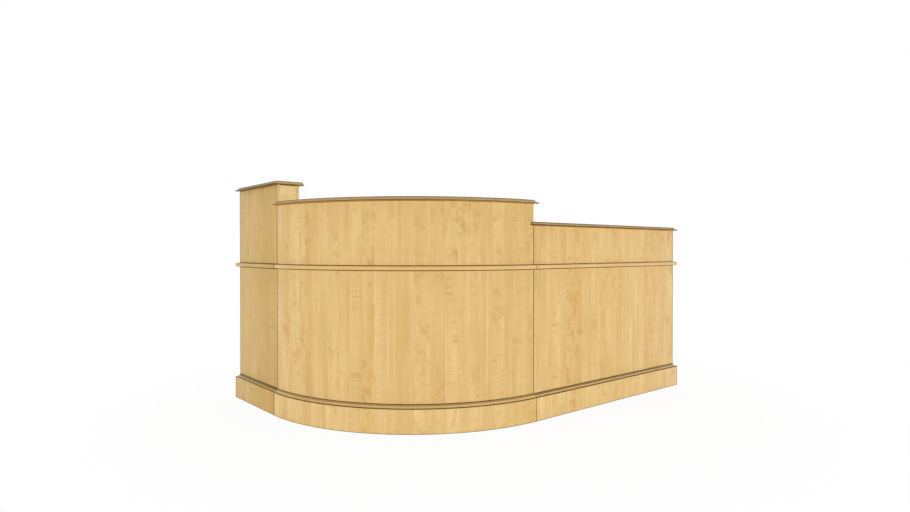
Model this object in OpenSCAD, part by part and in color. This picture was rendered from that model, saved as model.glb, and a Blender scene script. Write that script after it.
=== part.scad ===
// Checkout counter, an L-shaped counter with a rounded corner.
// Three hollow wall modules, a tall left one, a curved one and a low right one, are bolted
// together. They carry caps coved on the customer side, a half-round belt rail and a skirting
// with an ogee moulding.
// The staff side has a worktop on cleats and brackets, a cable grommet, and a till unit with a
// locking drawer on telescopic runners above a cupboard with an inset door.
//
// Every wall module is drawn in a run frame: u runs from the seam along the wall, v points out
// of the customer face, which is v = 0, and z is up.

/* [Plan] */
// Radius of the curved wall's outer face
corner_r = 900; // [820:10:1100]
// Length of the left wall from its seam
left_len = 493; // [400:1:900]
// Length of the right wall from its seam
right_len = 1249; // [1000:1:1800]

/* [Heights] */
// Top of the left wall's cap
left_h = 1172; // [1120:1:1300]
// Top of the curved wall's cap
curved_h = 1067; // [1010:1:1110]
// Top of the right wall's cap
right_h = 962; // [880:1:1000]

/* [Walls] */
// Thickness of the veneered front, liner, end and joint panels
skin_t = 15; // [12:0.5:18]
// Depth of the studs between the panels
stud_d = 89; // [63:1:120]
// Width of a stud
stud_w = 38; // [25:1:50]
// Thickness of the sole and top plates
plate_t = 38; // [25:1:50]
// Greatest distance between studs
stud_pitch = 400; // [300:10:600]
// Arris taken off the panel edges that meet at a seam
arris = 1.5; // [0.5:0.1:3]
// Radius of the bolts that join the modules
bolt_r = 4; // [3:0.5:5]
// Height of the lowest joining bolt
bolt_low_z = 160; // [120:5:200]
// Distance between joining bolts
bolt_step = 320; // [250:5:350]

/* [Caps] */
// Thickness of a cap
cap_t = 18; // [15:0.5:22]
// Thickness of the lip under the cap's cove
lip_t = 5; // [3:0.5:7]
// Radius of the shallow cove between the lip and the cap's top edge
cove_r = 28; // [24:1:60]
// Overhang of a cap past the wall, all round
overhang = 19; // [18:0.5:26]
// Inset of the cap's top edge, measured out from the wall face
cap_inset = 2; // [0:0.5:3]
// Length of the right cap that runs on past its seam
right_cap_horn = 30; // [20:1:40]

/* [Mouldings] */
// Thickness of the skirting board
base_t = 19; // [15:0.5:24]
// Height of the skirting board
base_h = 114; // [80:1:130]
// Height of the ogee moulding on the skirting
ogee_h = 12; // [10:0.5:14]
// Radius of the ogee's rounded foot
ogee_foot_r = 5; // [3:0.5:6]
// Height of the belt rail's underside
belt_z = 733; // [690:1:760]
// Height of the belt rail
belt_h = 21.5; // [16:0.5:26]
// Projection of the belt rail
belt_p = 19; // [14:0.5:22]

/* [Worktop] */
// Height of the worktop's upper face
worktop_h = 755; // [720:1:800]
// Thickness of the worktop
worktop_t = 25; // [18:1:32]
// Depth of the worktop from the wall's inner face
worktop_d = 560; // [520:5:620]
// Setback of the cabinets from the worktop's front edge
setback = 20; // [10:1:30]
// Height of a cleat under the worktop
cleat_h = 40; // [30:1:50]
// Thickness of a cleat
cleat_t = 20; // [15:1:25]
// Reach and drop of a worktop bracket
bracket_d = 380; // [300:5:420]
// Thickness of a worktop bracket
bracket_t = 25; // [18:1:30]
// Width of a bracket's two tips
bracket_tip = 45; // [30:1:60]

/* [Cable grommet] */
// Radius of the cable hole
grommet_r = 30; // [25:1:40]
// Wall of the grommet's sleeve
grommet_wall = 2; // [1.5:0.5:4]
// Width of the grommet's flange outside its sleeve
grommet_rim = 5; // [4:0.5:8]
// Thickness of the grommet's flange
grommet_rim_t = 3; // [2:0.5:4]
// Distance of the grommet along the wall from the seam
grommet_u = 375; // [200:5:450]
// Distance of the grommet from the wall's inner face
grommet_v = 95; // [80:1:150]

/* [Till unit] */
// Width of the till unit
unit_w = 500; // [460:1:550]
// Thickness of the unit's boards, door and drawer front
board_t = 18; // [16:0.5:20]
// Thickness of the unit's back
back_t = 8; // [6:0.5:12]
// Height of the plinth
plinth_h = 100; // [80:1:120]
// Setback of the plinth
toe_recess = 50; // [30:1:80]
// Height of the rail above the drawer
top_rail_h = 40; // [30:1:50]
// Depth of the rail between drawer and door
mid_rail_d = 80; // [60:1:100]
// Gap round the inset door and drawer front
front_gap = 2; // [2:0.1:3]
// Height of the cupboard shelf's underside
shelf_z = 330; // [280:1:400]
// Setback of the shelf from the door
shelf_setback = 15; // [5:1:60]
// Radius of a shelf pin
pin_r = 2.5; // [2:0.1:3]
// Reach of a shelf pin, both into the side and out of it
pin_reach = 9; // [6:0.5:12]
// Number of pin holes in a row
pin_holes = 5; // [3:2:7]

/* [Drawer] */
// Height of the drawer front
drawer_front_h = 110; // [100:1:130]
// Length of the drawer box and its runners
drawer_d = 450; // [400:5:460]
// Thickness of the drawer's sides and ends
drawer_board_t = 12; // [9:0.5:15]
// Thickness of the drawer's bottom
drawer_bottom_t = 6; // [4:0.5:9]
// Height of the drawer box above the drawer front's lower edge
drawer_lift = 12; // [8:1:16]
// Height of a runner
runner_h = 45; // [40:1:46]
// Room for a runner on each side of the drawer
runner_room = 13; // [12.5:0.1:14]
// Thickness of the runner's steel
runner_steel = 1.5; // [1:0.1:1.6]

/* [Fittings] */
// Greatest radius of a knob
knob_r = 16; // [12:0.5:20]
// Projection of a knob
knob_p = 24; // [20:0.5:30]
// Radius of the lock's sleeve
lock_r = 9.5; // [9:0.1:11]
// Radius of the lock's turning plug
plug_r = 6; // [5:0.1:7]
// Depth of the lock below the drawer front's upper edge
lock_drop = 16; // [14:0.5:18]
// Reach of the lock's cam from its axis
cam_reach = 30; // [28:0.5:34]
// Height of a door hinge
hinge_h = 60; // [50:1:80]
// Radius of a hinge's knuckle
knuckle_r = 4; // [3.5:0.1:5]
// Radius of a hinge pin
hinge_pin_r = 2; // [1.5:0.1:2.5]
// Distance of each hinge from the door's nearer end
hinge_inset = 60; // [40:1:90]

/* [Hidden] */
$fn = 128;

// Clearance behind curved faces, and round pieces that drop into a hole
seat_gap = 0.3;
// Running clearance of the hinge pins and the lock plug
run_gap = 0.06;
// Extra length of a cutting tool past the piece that it cuts
past = 1;

wall_t = 2 * skin_t + stud_d;
plan_x = corner_r + right_len;
plan_y = corner_r + left_len;
left_wall_h = left_h - cap_t;
curved_wall_h = curved_h - cap_t;
right_wall_h = right_h - cap_t;
// Faces of the stud space between the two panels of a wall
core_out = -skin_t;
core_in = -(wall_t - skin_t);

cove_run = overhang - cap_inset;
cove_rise = cap_t - lip_t;

bolt_hole_r = bolt_r + 0.3;
bolt_head_r = bolt_r * 1.85;
bolt_head_t = 5.5;
bolt_tail = 2;
bolt_zs = [for (i = [0 : 2]) bolt_low_z + i * bolt_step];

under_z = worktop_h - worktop_t;
liner_r = corner_r - wall_t;

unit_d = worktop_d - setback;
unit_u = right_len - unit_w;
inner_u0 = unit_u + board_t;
inner_u1 = right_len - board_t;
mid_u = (inner_u0 + inner_u1) / 2;
unit_front = -(wall_t + unit_d);
front_back = unit_front + board_t;

drawer_top_z = under_z - top_rail_h - front_gap;
drawer_low_z = drawer_top_z - drawer_front_h;
mid_rail_z = drawer_low_z - front_gap - board_t;
door_top_z = mid_rail_z - front_gap;
door_low_z = plinth_h + board_t + front_gap;

lock_z = drawer_top_z - lock_drop;
lock_u = mid_u + (inner_u1 - inner_u0) / 4;
lock_rim = 2;
lock_tail = 2;
cam_w = 10;
cam_t = 2;
box_u0 = inner_u0 + runner_room;
box_u1 = inner_u1 - runner_room;
box_z = drawer_low_z + drawer_lift;
box_top_z = lock_z - lock_r - 2.5;
runner_z = (box_z + box_top_z) / 2;
runner_back = front_back + drawer_d;

hinge_u = inner_u1 - front_gap / 2;
hinge_v = unit_front - knuckle_r - 2 * seat_gap;
hinge_leaf_t = front_gap / 2 - 0.1;
hinge_leaf_d = board_t - 3;
hinge_zs = [door_low_z + hinge_inset, door_top_z - hinge_inset - hinge_h];

pin_pitch = 32;
pin_z = shelf_z - pin_r - 0.1;
pin_vs = [front_back + 2 * pin_pitch, -(wall_t + back_t) - 2 * pin_pitch];

maple = "#E2C080";
maple_light = "#E8CC94";
plywood = "#D9BE8C";
softwood = "#E0C48E";
steel = "#B9BCC0";
nickel = "#C9C7C0";
black_plastic = "#2B2B2C";

// Frames: the origin is the middle of the plan, on the floor

module in_place() {
    translate([-plan_x / 2, -plan_y / 2, 0]) children();
}

module left_run() {
    in_place() translate([0, corner_r, 0]) rotate([0, 0, 90]) children();
}

module right_run() {
    in_place() translate([corner_r, 0, 0]) mirror([0, 1, 0]) children();
}

// Polar frame of the curved wall: angle 0 is the left seam and 90 the right one
module corner_run() {
    in_place() translate([corner_r, corner_r, 0]) rotate([0, 0, 180]) children();
}

// Shapes that repeat

// A board between two opposite corners in a run frame
module board(u, v, z) {
    translate([u[0], v[0], z[0]]) cube([u[1] - u[0], v[1] - v[0], z[1] - z[0]]);
}

// Sweeps a section drawn in (v, z) along a straight wall
module along(from, to) {
    translate([from, 0, 0]) rotate([90, 0, 90]) linear_extrude(to - from) children();
}

// Sweeps a section drawn in (v, z) round the curved wall
module around() {
    rotate_extrude(angle = 90) translate([corner_r, 0]) children();
}

// Sweeps a section drawn in (u, z) across a wall, from v_out inwards
module across(v_out, depth) {
    translate([0, v_out, 0]) rotate([90, 0, 0]) linear_extrude(depth) children();
}

// Cuts what runs past a mitre at the end of a wall
module mitred(len, depth) {
    difference() {
        children();
        translate([len, 0, -past]) rotate([0, 0, -45]) cube([3 * depth, 3 * depth, left_h]);
    }
}

// A moulding along a wall that returns round the wall's free end with a glued mitre
module run_with_return(len, depth) {
    mitred(len, depth) along(0, len + depth) children();
    translate([len, 0, 0]) mirror([1, -1, 0])
        mitred(0, depth) along(-wall_t, depth) children();
}

// Takes the arris off a panel's upright edge
module arris_cut(h) {
    translate([0, 0, -past]) linear_extrude(h + 2 * past) circle(arris, $fn = 4);
}

module straight_front(len, h) {
    difference() {
        board([0, len], [core_out, 0], [0, h]);
        arris_cut(h);
    }
}

module straight_liner(len, h) {
    board([0, len], [-wall_t, core_in], [0, h]);
}

// A board that closes the end of a straight module, from u on
module end_board(u, h) {
    board([u, u + skin_t], [core_in, core_out], [0, h]);
}

module bolt_holes() {
    for (z = bolt_zs)
        translate([-skin_t - past, -wall_t / 2, z]) rotate([0, 90, 0])
            cylinder(r = bolt_hole_r, h = 2 * (skin_t + past));
}

module joint_board(h) {
    difference() {
        end_board(0, h);
        bolt_holes();
    }
}

// End board of the curved module, kept clear of its two curved panels
module curved_joint_board() {
    v_out = sqrt(pow(corner_r - skin_t, 2) - pow(skin_t, 2)) - corner_r - seat_gap;
    difference() {
        board([-skin_t, 0], [core_in + seat_gap, v_out], [0, curved_wall_h]);
        bolt_holes();
    }
}

module straight_plate(len, z) {
    board([skin_t, len - skin_t], [core_in, core_out], [z, z + plate_t]);
}

module curved_plate(z) {
    r = corner_r + core_in + seat_gap;
    translate([0, 0, z]) difference() {
        rotate_extrude(angle = 90) translate([r, 0]) square([stud_d - 2 * seat_gap, plate_t]);
        translate([0, -past, -past]) cube([corner_r, skin_t + past, plate_t + 2 * past]);
        translate([-past, 0, -past]) cube([skin_t + past, corner_r, plate_t + 2 * past]);
    }
}

module straight_studs(len, h) {
    n = floor(len / stud_pitch);
    for (i = [1 : n]) {
        u = len * i / (n + 1);
        board([u - stud_w / 2, u + stud_w / 2], [core_in, core_out], [plate_t, h - plate_t]);
    }
}

module curved_studs(h) {
    n = floor(corner_r * PI / 2 / stud_pitch);
    r_in = corner_r + core_in + seat_gap;
    r_out = sqrt(pow(corner_r + core_out, 2) - pow(stud_w / 2, 2)) - seat_gap;
    for (i = [1 : n])
        rotate([0, 0, 90 * i / (n + 1)]) translate([r_in, -stud_w / 2, plate_t])
            cube([r_out - r_in, stud_w, h - 2 * plate_t]);
}

// What the cove takes off a cap's edge, with the edge at x = 0: a round through the lip's upper
// edge and the cap's top edge
module cove_cut() {
    chord = norm([cove_run, cove_rise]);
    lift = sqrt(pow(cove_r, 2) - pow(chord / 2, 2)) / chord;
    translate([lift * cove_rise - cove_run / 2, lip_t + cove_rise / 2 + lift * cove_run])
        circle(cove_r);
}

// Section of a cap across its wall: coved on the customer side, square on the staff side
module cap_wall_section() {
    difference() {
        translate([-wall_t - overhang, 0]) square([wall_t + 2 * overhang, cap_t]);
        translate([overhang, 0]) cove_cut();
    }
}

// Section of a straight cap along its wall, coved at both ends
module cap_length_section(from, to) {
    difference() {
        translate([from, 0]) square([to - from, cap_t]);
        translate([to, 0]) cove_cut();
        translate([from, 0]) mirror([1, 0]) cove_cut();
    }
}

// A straight cap from end to end
module cap_blank(from, to) {
    intersection() {
        along(from, to) cap_wall_section();
        across(overhang, wall_t + 2 * overhang) cap_length_section(from, to);
    }
}

// The part of a straight cap on one side of a seam
module cap_past_seam(to, v_low) {
    intersection() {
        cap_blank(-to - 2 * overhang, to);
        board([0, to], [v_low, overhang], [0, cap_t]);
    }
}

module skirting_section(back) {
    translate([back, 0]) square([base_t - back, base_h]);
}

// Ogee of the base moulding: a rounded foot, a narrow ledge and a cove up to the wall
module ogee_section(back) {
    ogee_cove_r = ogee_h - ogee_foot_r;
    ledge = base_t - ogee_foot_r - 2;
    translate([0, base_h]) intersection() {
        translate([back, 0]) square([base_t, ogee_h]);
        union() {
            difference() {
                square([ledge, ogee_h]);
                translate([ledge, ogee_h]) circle(ogee_cove_r);
            }
            square([base_t - ogee_foot_r, ogee_foot_r]);
            translate([base_t - ogee_foot_r, 0]) circle(ogee_foot_r);
        }
    }
}

// Half-round belt rail on a flat back
module belt_section(back) {
    translate([0, belt_z]) intersection() {
        translate([back, 0]) square([belt_p, belt_h]);
        union() {
            square([belt_p - belt_h / 2, belt_h]);
            translate([belt_p - belt_h / 2, belt_h / 2]) circle(belt_h / 2);
        }
    }
}

// Worktop section with a full round nose on the staff side
module worktop_section() {
    nose_v = -(wall_t + worktop_d) + worktop_t / 2;
    translate([0, under_z]) {
        translate([nose_v, 0]) square([-wall_t - seat_gap - nose_v, worktop_t]);
        translate([nose_v, worktop_t / 2]) circle(worktop_t / 2);
    }
}

// Bracket profile: the corner is under the worktop at the wall, with a notch for the cleat
module bracket_profile() {
    difference() {
        translate([0, -bracket_d]) square(bracket_d);
        translate([bracket_d, -bracket_d]) circle(bracket_d - bracket_tip);
        translate([-past, -cleat_h - past]) square([cleat_t + 2 * past, cleat_h + 2 * past]);
    }
}

module worktop_bracket() {
    back_x = sqrt(pow(liner_r, 2) - pow(bracket_t / 2, 2)) - seat_gap;
    translate([back_x, 0, under_z]) mirror([1, 0, 0]) rotate([90, 0, 0])
        linear_extrude(bracket_t, center = true) bracket_profile();
}

// Both side positions of a piece drawn at the knee side of the till unit
module both_sides() {
    children();
    translate([2 * mid_u, 0, 0]) mirror([1, 0, 0]) children();
}

// A piece drawn with its axis on z, set on the unit's front with the axis towards the staff
module on_front(u, z) {
    translate([u, unit_front, z]) rotate([90, 0, 0]) children();
}

// Button knob: a foot, a neck and a disc with a full round rim
module knob() {
    rim_r = knob_r * 3 / 8;
    rotate_extrude() {
        square([knob_r / 2, knob_p / 8]);
        square([knob_r / 3, knob_p - rim_r]);
        translate([0, knob_p - 2 * rim_r]) square([knob_r - rim_r, 2 * rim_r]);
        translate([knob_r - rim_r, knob_p - rim_r]) circle(rim_r);
    }
}

// Side of the till unit with its two rows of holes for shelf pins, bored from the inner face
module unit_side(u, bore_u) {
    difference() {
        board([u, u + board_t], [unit_front, -wall_t], [0, under_z]);
        for (v = pin_vs, i = [0 : pin_holes - 1])
            translate([bore_u, v, pin_z + (i - (pin_holes - 1) / 2) * pin_pitch])
                rotate([0, 90, 0]) cylinder(r = pin_r + 0.1, h = 2 * pin_reach, center = true);
    }
}

// A steel channel open towards +s: s is the distance from its web's back
module channel(web_s, lip_s, half_h) {
    translate([web_s, -half_h]) square([runner_steel, 2 * half_h]);
    for (side = [-1, 1])
        translate([web_s, side * (half_h - runner_steel / 2) - runner_steel / 2])
            square([lip_s - web_s, runner_steel]);
}

// A pair of runner members, from a section in (s, z) with s measured from the unit's side
module runner_pair() {
    both_sides() translate([inner_u0, runner_back, runner_z]) rotate([90, 0, 0])
        linear_extrude(drawer_d - past) children();
}

// One leaf and its knuckles, cut to the given shares of the hinge's height
module hinge_leaf(side, shares) {
    leaf_u = side > 0 ? hinge_u + 0.1 : hinge_u - 0.1 - hinge_leaf_t;
    for (z0 = hinge_zs)
        difference() {
            union() {
                board([leaf_u, leaf_u + hinge_leaf_t], [unit_front, unit_front + hinge_leaf_d],
                      [z0, z0 + hinge_h]);
                for (share = shares) {
                    z = z0 + hinge_h * share[0] + seat_gap / 2;
                    h = hinge_h * (share[1] - share[0]) - seat_gap;
                    board([leaf_u, leaf_u + hinge_leaf_t], [hinge_v, unit_front], [z, z + h]);
                    translate([hinge_u, hinge_v, z]) cylinder(r = knuckle_r, h = h);
                }
            }
            translate([hinge_u, hinge_v, z0 - past])
                cylinder(r = hinge_pin_r + run_gap, h = hinge_h + 2 * past);
        }
}

// Wall panels

module left_front_panel() {
    color(maple) left_run() straight_front(left_len, left_wall_h);
}

module curved_front_panel() {
    color(maple) corner_run() difference() {
        around() translate([-skin_t, 0]) square([skin_t, curved_wall_h]);
        for (a = [0, 90]) rotate([0, 0, a]) translate([corner_r, 0, 0]) arris_cut(curved_wall_h);
    }
}

module right_front_panel() {
    color(maple) right_run() straight_front(right_len, right_wall_h);
}

module left_liner_panel() {
    color(maple) left_run() straight_liner(left_len, left_wall_h);
}

module curved_liner_panel() {
    color(maple) corner_run() around() translate([-wall_t, 0]) square([skin_t, curved_wall_h]);
}

module right_liner_panel() {
    color(maple) right_run() straight_liner(right_len, right_wall_h);
}

module left_end_panel() {
    color(maple) left_run() end_board(left_len - skin_t, left_wall_h);
}

module left_joint_panel() {
    color(maple) left_run() joint_board(left_wall_h);
}

module curved_joint_panels() {
    color(maple) {
        left_run() curved_joint_board();
        right_run() curved_joint_board();
    }
}

module right_joint_panel() {
    color(maple) right_run() joint_board(right_wall_h);
}

module right_end_panel() {
    color(maple) right_run() end_board(right_len - skin_t, right_wall_h);
}

// Frames inside the walls

module sole_plates() {
    color(softwood) {
        left_run() straight_plate(left_len, 0);
        corner_run() curved_plate(0);
        right_run() straight_plate(right_len, 0);
    }
}

module top_plates() {
    color(softwood) {
        left_run() straight_plate(left_len, left_wall_h - plate_t);
        corner_run() curved_plate(curved_wall_h - plate_t);
        right_run() straight_plate(right_len, right_wall_h - plate_t);
    }
}

module wall_studs() {
    color(softwood) {
        left_run() straight_studs(left_len, left_wall_h);
        corner_run() curved_studs(curved_wall_h);
        right_run() straight_studs(right_len, right_wall_h);
    }
}

module seam_bolts() {
    for (z = bolt_zs) translate([-skin_t, -wall_t / 2, z]) rotate([0, 90, 0]) {
        translate([0, 0, -bolt_head_t - bolt_tail])
            cylinder(r = bolt_r, h = 2 * skin_t + bolt_head_t + bolt_tail);
        translate([0, 0, 2 * skin_t]) cylinder(r = bolt_head_r, h = bolt_head_t, $fn = 6);
    }
}

module seam_nuts() {
    for (z = bolt_zs) translate([-skin_t - bolt_head_t, -wall_t / 2, z]) rotate([0, 90, 0])
        difference() {
            cylinder(r = bolt_head_r, h = bolt_head_t, $fn = 6);
            translate([0, 0, -past]) cylinder(r = bolt_r + 0.1, h = bolt_head_t + 2 * past);
        }
}

module connector_bolts() {
    color(steel) {
        left_run() seam_bolts();
        right_run() seam_bolts();
    }
}

module connector_nuts() {
    color(steel) {
        left_run() seam_nuts();
        right_run() seam_nuts();
    }
}

// Caps

module left_cap() {
    color(maple_light) left_run() translate([0, 0, left_wall_h])
        cap_blank(-overhang, left_len + overhang);
}

module curved_cap() {
    color(maple_light) translate([0, 0, curved_wall_h]) {
        corner_run() around() cap_wall_section();
        right_run() cap_past_seam(overhang, -wall_t - overhang);
        left_run() cap_past_seam(overhang, seat_gap);
    }
}

module right_cap() {
    low_v = -wall_t - overhang - past;
    color(maple_light) right_run() translate([0, 0, right_wall_h]) difference() {
        cap_blank(-right_cap_horn, right_len + overhang);
        board([-right_cap_horn - past, 0], [low_v, seat_gap], [-past, cap_t + past]);
    }
}

// Belt rail

module left_belt_rail() {
    color(maple_light) left_run() run_with_return(left_len, belt_p) belt_section(0);
}

module curved_belt_rail() {
    color(maple_light) corner_run() around() belt_section(seat_gap);
}

module right_belt_rail() {
    color(maple_light) right_run() run_with_return(right_len, belt_p) belt_section(0);
}

// Skirting and its moulding

module left_skirting() {
    color(maple) left_run() run_with_return(left_len, base_t) skirting_section(0);
}

module curved_skirting() {
    color(maple) corner_run() around() skirting_section(seat_gap);
}

module right_skirting() {
    color(maple) right_run() run_with_return(right_len, base_t) skirting_section(0);
}

module left_base_moulding() {
    color(maple_light) left_run() run_with_return(left_len, base_t) ogee_section(0);
}

module curved_base_moulding() {
    color(maple_light) corner_run() around() ogee_section(seat_gap);
}

module right_base_moulding() {
    color(maple_light) right_run() run_with_return(right_len, base_t) ogee_section(0);
}

// Worktop and its supports

module corner_worktop() {
    color(maple_light) {
        corner_run() around() worktop_section();
        left_run() along(0, left_len) worktop_section();
    }
}

module right_worktop() {
    color(maple_light) right_run() difference() {
        along(0, right_len) worktop_section();
        translate([grommet_u, -wall_t - grommet_v, under_z - past])
            cylinder(r = grommet_r + grommet_wall + seat_gap, h = worktop_t + 2 * past);
    }
}

module worktop_cleats() {
    z = [under_z - cleat_h, under_z];
    v = [-wall_t - cleat_t, -wall_t];
    color(softwood) {
        left_run() board([seat_gap, left_len - board_t], v, z);
        corner_run() around() translate([v[0], z[0]]) square([cleat_t - seat_gap, cleat_h]);
        right_run() board([seat_gap, unit_u], v, z);
    }
}

module worktop_brackets() {
    color(plywood) corner_run() for (a = [0, 45, 90]) rotate([0, 0, a]) worktop_bracket();
}

module left_support_panel() {
    color(maple) left_run()
        board([left_len - board_t, left_len], [unit_front, -wall_t], [0, under_z]);
}

module cable_grommet() {
    sleeve_r = grommet_r + grommet_wall;
    color(black_plastic) right_run() translate([grommet_u, -wall_t - grommet_v, under_z])
        difference() {
            union() {
                cylinder(r = sleeve_r, h = worktop_t);
                translate([0, 0, worktop_t]) cylinder(r = sleeve_r + grommet_rim, h = grommet_rim_t);
            }
            translate([0, 0, -past])
                cylinder(r = grommet_r, h = worktop_t + grommet_rim_t + 2 * past);
        }
}

// Till unit

module unit_knee_side() {
    color(maple) right_run() unit_side(unit_u, inner_u0);
}

module unit_end_side() {
    color(maple) right_run() unit_side(inner_u1, inner_u1);
}

module unit_back() {
    color(plywood) right_run()
        board([inner_u0, inner_u1], [-wall_t - back_t, -wall_t], [plinth_h, under_z]);
}

module unit_bottom() {
    color(plywood) right_run()
        board([inner_u0, inner_u1], [unit_front, -wall_t - back_t], [plinth_h, plinth_h + board_t]);
}

module unit_plinth() {
    v = unit_front + toe_recess;
    color(maple) right_run() board([inner_u0, inner_u1], [v, v + board_t], [0, plinth_h]);
}

module unit_top_rail() {
    color(maple) right_run()
        board([inner_u0, inner_u1], [unit_front, front_back], [under_z - top_rail_h, under_z]);
}

module unit_mid_rail() {
    color(maple) right_run() board([inner_u0, inner_u1], [unit_front, unit_front + mid_rail_d],
                                   [mid_rail_z, mid_rail_z + board_t]);
}

module cupboard_shelf() {
    color(plywood) right_run()
        board([inner_u0 + seat_gap, inner_u1 - seat_gap],
              [front_back + shelf_setback, -wall_t - back_t - seat_gap],
              [shelf_z, shelf_z + board_t]);
}

module shelf_pins() {
    color(steel) right_run() both_sides() for (v = pin_vs)
        translate([inner_u0, v, pin_z]) rotate([0, 90, 0])
            cylinder(r = pin_r, h = 2 * pin_reach - 2 * seat_gap, center = true);
}

// Cupboard door

module cupboard_door() {
    color(maple) right_run()
        board([inner_u0 + front_gap, inner_u1 - front_gap], [unit_front, front_back],
              [door_low_z, door_top_z]);
}

module door_knob() {
    color(nickel) right_run() on_front(inner_u0 + front_gap + 3 * knob_r, door_top_z - 5 * knob_r)
        knob();
}

module hinge_fixed_leaves() {
    color(nickel) right_run() hinge_leaf(1, [[0, 1 / 3], [2 / 3, 1]]);
}

module hinge_moving_leaves() {
    color(nickel) right_run() hinge_leaf(-1, [[1 / 3, 2 / 3]]);
}

module hinge_pins() {
    color(nickel) right_run() for (z = hinge_zs) translate([hinge_u, hinge_v, z]) {
        cylinder(r = hinge_pin_r, h = hinge_h);
        translate([0, 0, hinge_h]) cylinder(r = knuckle_r * 0.8, h = hinge_pin_r);
    }
}

// Till drawer

module drawer_front() {
    color(maple) right_run() difference() {
        board([inner_u0 + front_gap, inner_u1 - front_gap], [unit_front, front_back],
              [drawer_low_z, drawer_top_z]);
        on_front(lock_u, lock_z) translate([0, 0, -board_t - past])
            cylinder(r = lock_r + 0.1, h = board_t + 2 * past);
    }
}

module drawer_sides() {
    color(plywood) right_run() both_sides()
        board([box_u0, box_u0 + drawer_board_t], [front_back, runner_back], [box_z, box_top_z]);
}

module drawer_ends() {
    u = [box_u0 + drawer_board_t, box_u1 - drawer_board_t];
    color(plywood) right_run() for (v = [front_back, runner_back - drawer_board_t])
        board(u, [v, v + drawer_board_t], [box_z, box_top_z]);
}

module drawer_bottom() {
    z = box_z + drawer_bottom_t;
    color(plywood) right_run()
        board([box_u0 + drawer_board_t, box_u1 - drawer_board_t],
              [front_back + drawer_board_t, runner_back - drawer_board_t],
              [z, z + drawer_bottom_t]);
}

module drawer_knob() {
    color(nickel) right_run() on_front(mid_u, (drawer_low_z + drawer_top_z) / 2) knob();
}

// Telescopic runners: each member is a channel that slides inside the next

module runner_outer_members() {
    color(steel) right_run() runner_pair() channel(0, runner_room - 1, runner_h / 2);
}

module runner_middle_members() {
    s = runner_steel + 0.5;
    color(steel) right_run() runner_pair() channel(s, runner_room - 1, runner_h / 2 - s);
}

module runner_inner_members() {
    s = 2 * (runner_steel + 0.5);
    color(steel) right_run() runner_pair() translate([runner_room, 0]) mirror([1, 0])
        channel(0, runner_room - s - 0.5, runner_h / 2 - s);
}

// Drawer lock

module lock_housing() {
    color(nickel) right_run() on_front(lock_u, lock_z) difference() {
        union() {
            translate([0, 0, -board_t - lock_tail]) cylinder(r = lock_r, h = board_t + lock_tail);
            cylinder(r = lock_r + lock_rim, h = lock_rim);
        }
        translate([0, 0, -board_t - lock_tail - past])
            cylinder(r = plug_r + run_gap, h = board_t + lock_tail + lock_rim + 2 * past);
    }
}

module lock_plug() {
    key_w = plug_r / 4;
    key_h = plug_r * 1.2;
    key_deep = 6;
    color(nickel) right_run() on_front(lock_u, lock_z) difference() {
        translate([0, 0, -board_t - lock_tail]) cylinder(r = plug_r, h = board_t + lock_tail + lock_rim);
        translate([-key_w / 2, -key_h / 2, lock_rim - key_deep]) cube([key_w, key_h, key_deep + past]);
    }
}

module lock_cam() {
    tip = cam_reach - cam_w / 2;
    color(steel) right_run() on_front(lock_u, lock_z)
        translate([0, 0, -board_t - lock_tail - cam_t]) linear_extrude(cam_t) {
            circle(plug_r);
            translate([-tip, -cam_w / 2]) square([tip, cam_w]);
            translate([-tip, 0]) circle(cam_w / 2);
        }
}

left_front_panel();
curved_front_panel();
right_front_panel();
left_liner_panel();
curved_liner_panel();
right_liner_panel();
left_end_panel();
left_joint_panel();
curved_joint_panels();
right_joint_panel();
right_end_panel();
sole_plates();
top_plates();
wall_studs();
connector_bolts();
connector_nuts();
left_cap();
curved_cap();
right_cap();
left_belt_rail();
curved_belt_rail();
right_belt_rail();
left_skirting();
curved_skirting();
right_skirting();
left_base_moulding();
curved_base_moulding();
right_base_moulding();
corner_worktop();
right_worktop();
worktop_cleats();
worktop_brackets();
left_support_panel();
cable_grommet();
unit_knee_side();
unit_end_side();
unit_back();
unit_bottom();
unit_plinth();
unit_top_rail();
unit_mid_rail();
cupboard_shelf();
shelf_pins();
cupboard_door();
door_knob();
hinge_fixed_leaves();
hinge_moving_leaves();
hinge_pins();
drawer_front();
drawer_sides();
drawer_ends();
drawer_bottom();
drawer_knob();
runner_outer_members();
runner_middle_members();
runner_inner_members();
lock_housing();
lock_plug();
lock_cam();
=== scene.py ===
"""Looks of the checkout counter: dressed boards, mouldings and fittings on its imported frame."""

from __future__ import annotations

import logging
import math
from dataclasses import dataclass
from dataclasses import field
from dataclasses import replace
from enum import Enum
from typing import Any
from typing import Callable

import bmesh
import bpy
import numpy as np
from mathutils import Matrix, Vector


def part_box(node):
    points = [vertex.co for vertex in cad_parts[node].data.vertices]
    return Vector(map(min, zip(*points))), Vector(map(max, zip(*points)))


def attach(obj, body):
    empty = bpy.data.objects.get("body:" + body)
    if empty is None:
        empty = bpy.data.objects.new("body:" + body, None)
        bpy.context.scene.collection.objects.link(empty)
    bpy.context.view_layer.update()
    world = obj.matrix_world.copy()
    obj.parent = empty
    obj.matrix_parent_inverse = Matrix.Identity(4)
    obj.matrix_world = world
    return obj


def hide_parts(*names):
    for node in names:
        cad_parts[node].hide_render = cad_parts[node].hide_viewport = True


Pair = tuple[float, float]
Triple = tuple[float, float, float]
Colour = tuple[float, float, float, float]
Socket = bpy.types.NodeSocket
Object = bpy.types.Object

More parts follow.
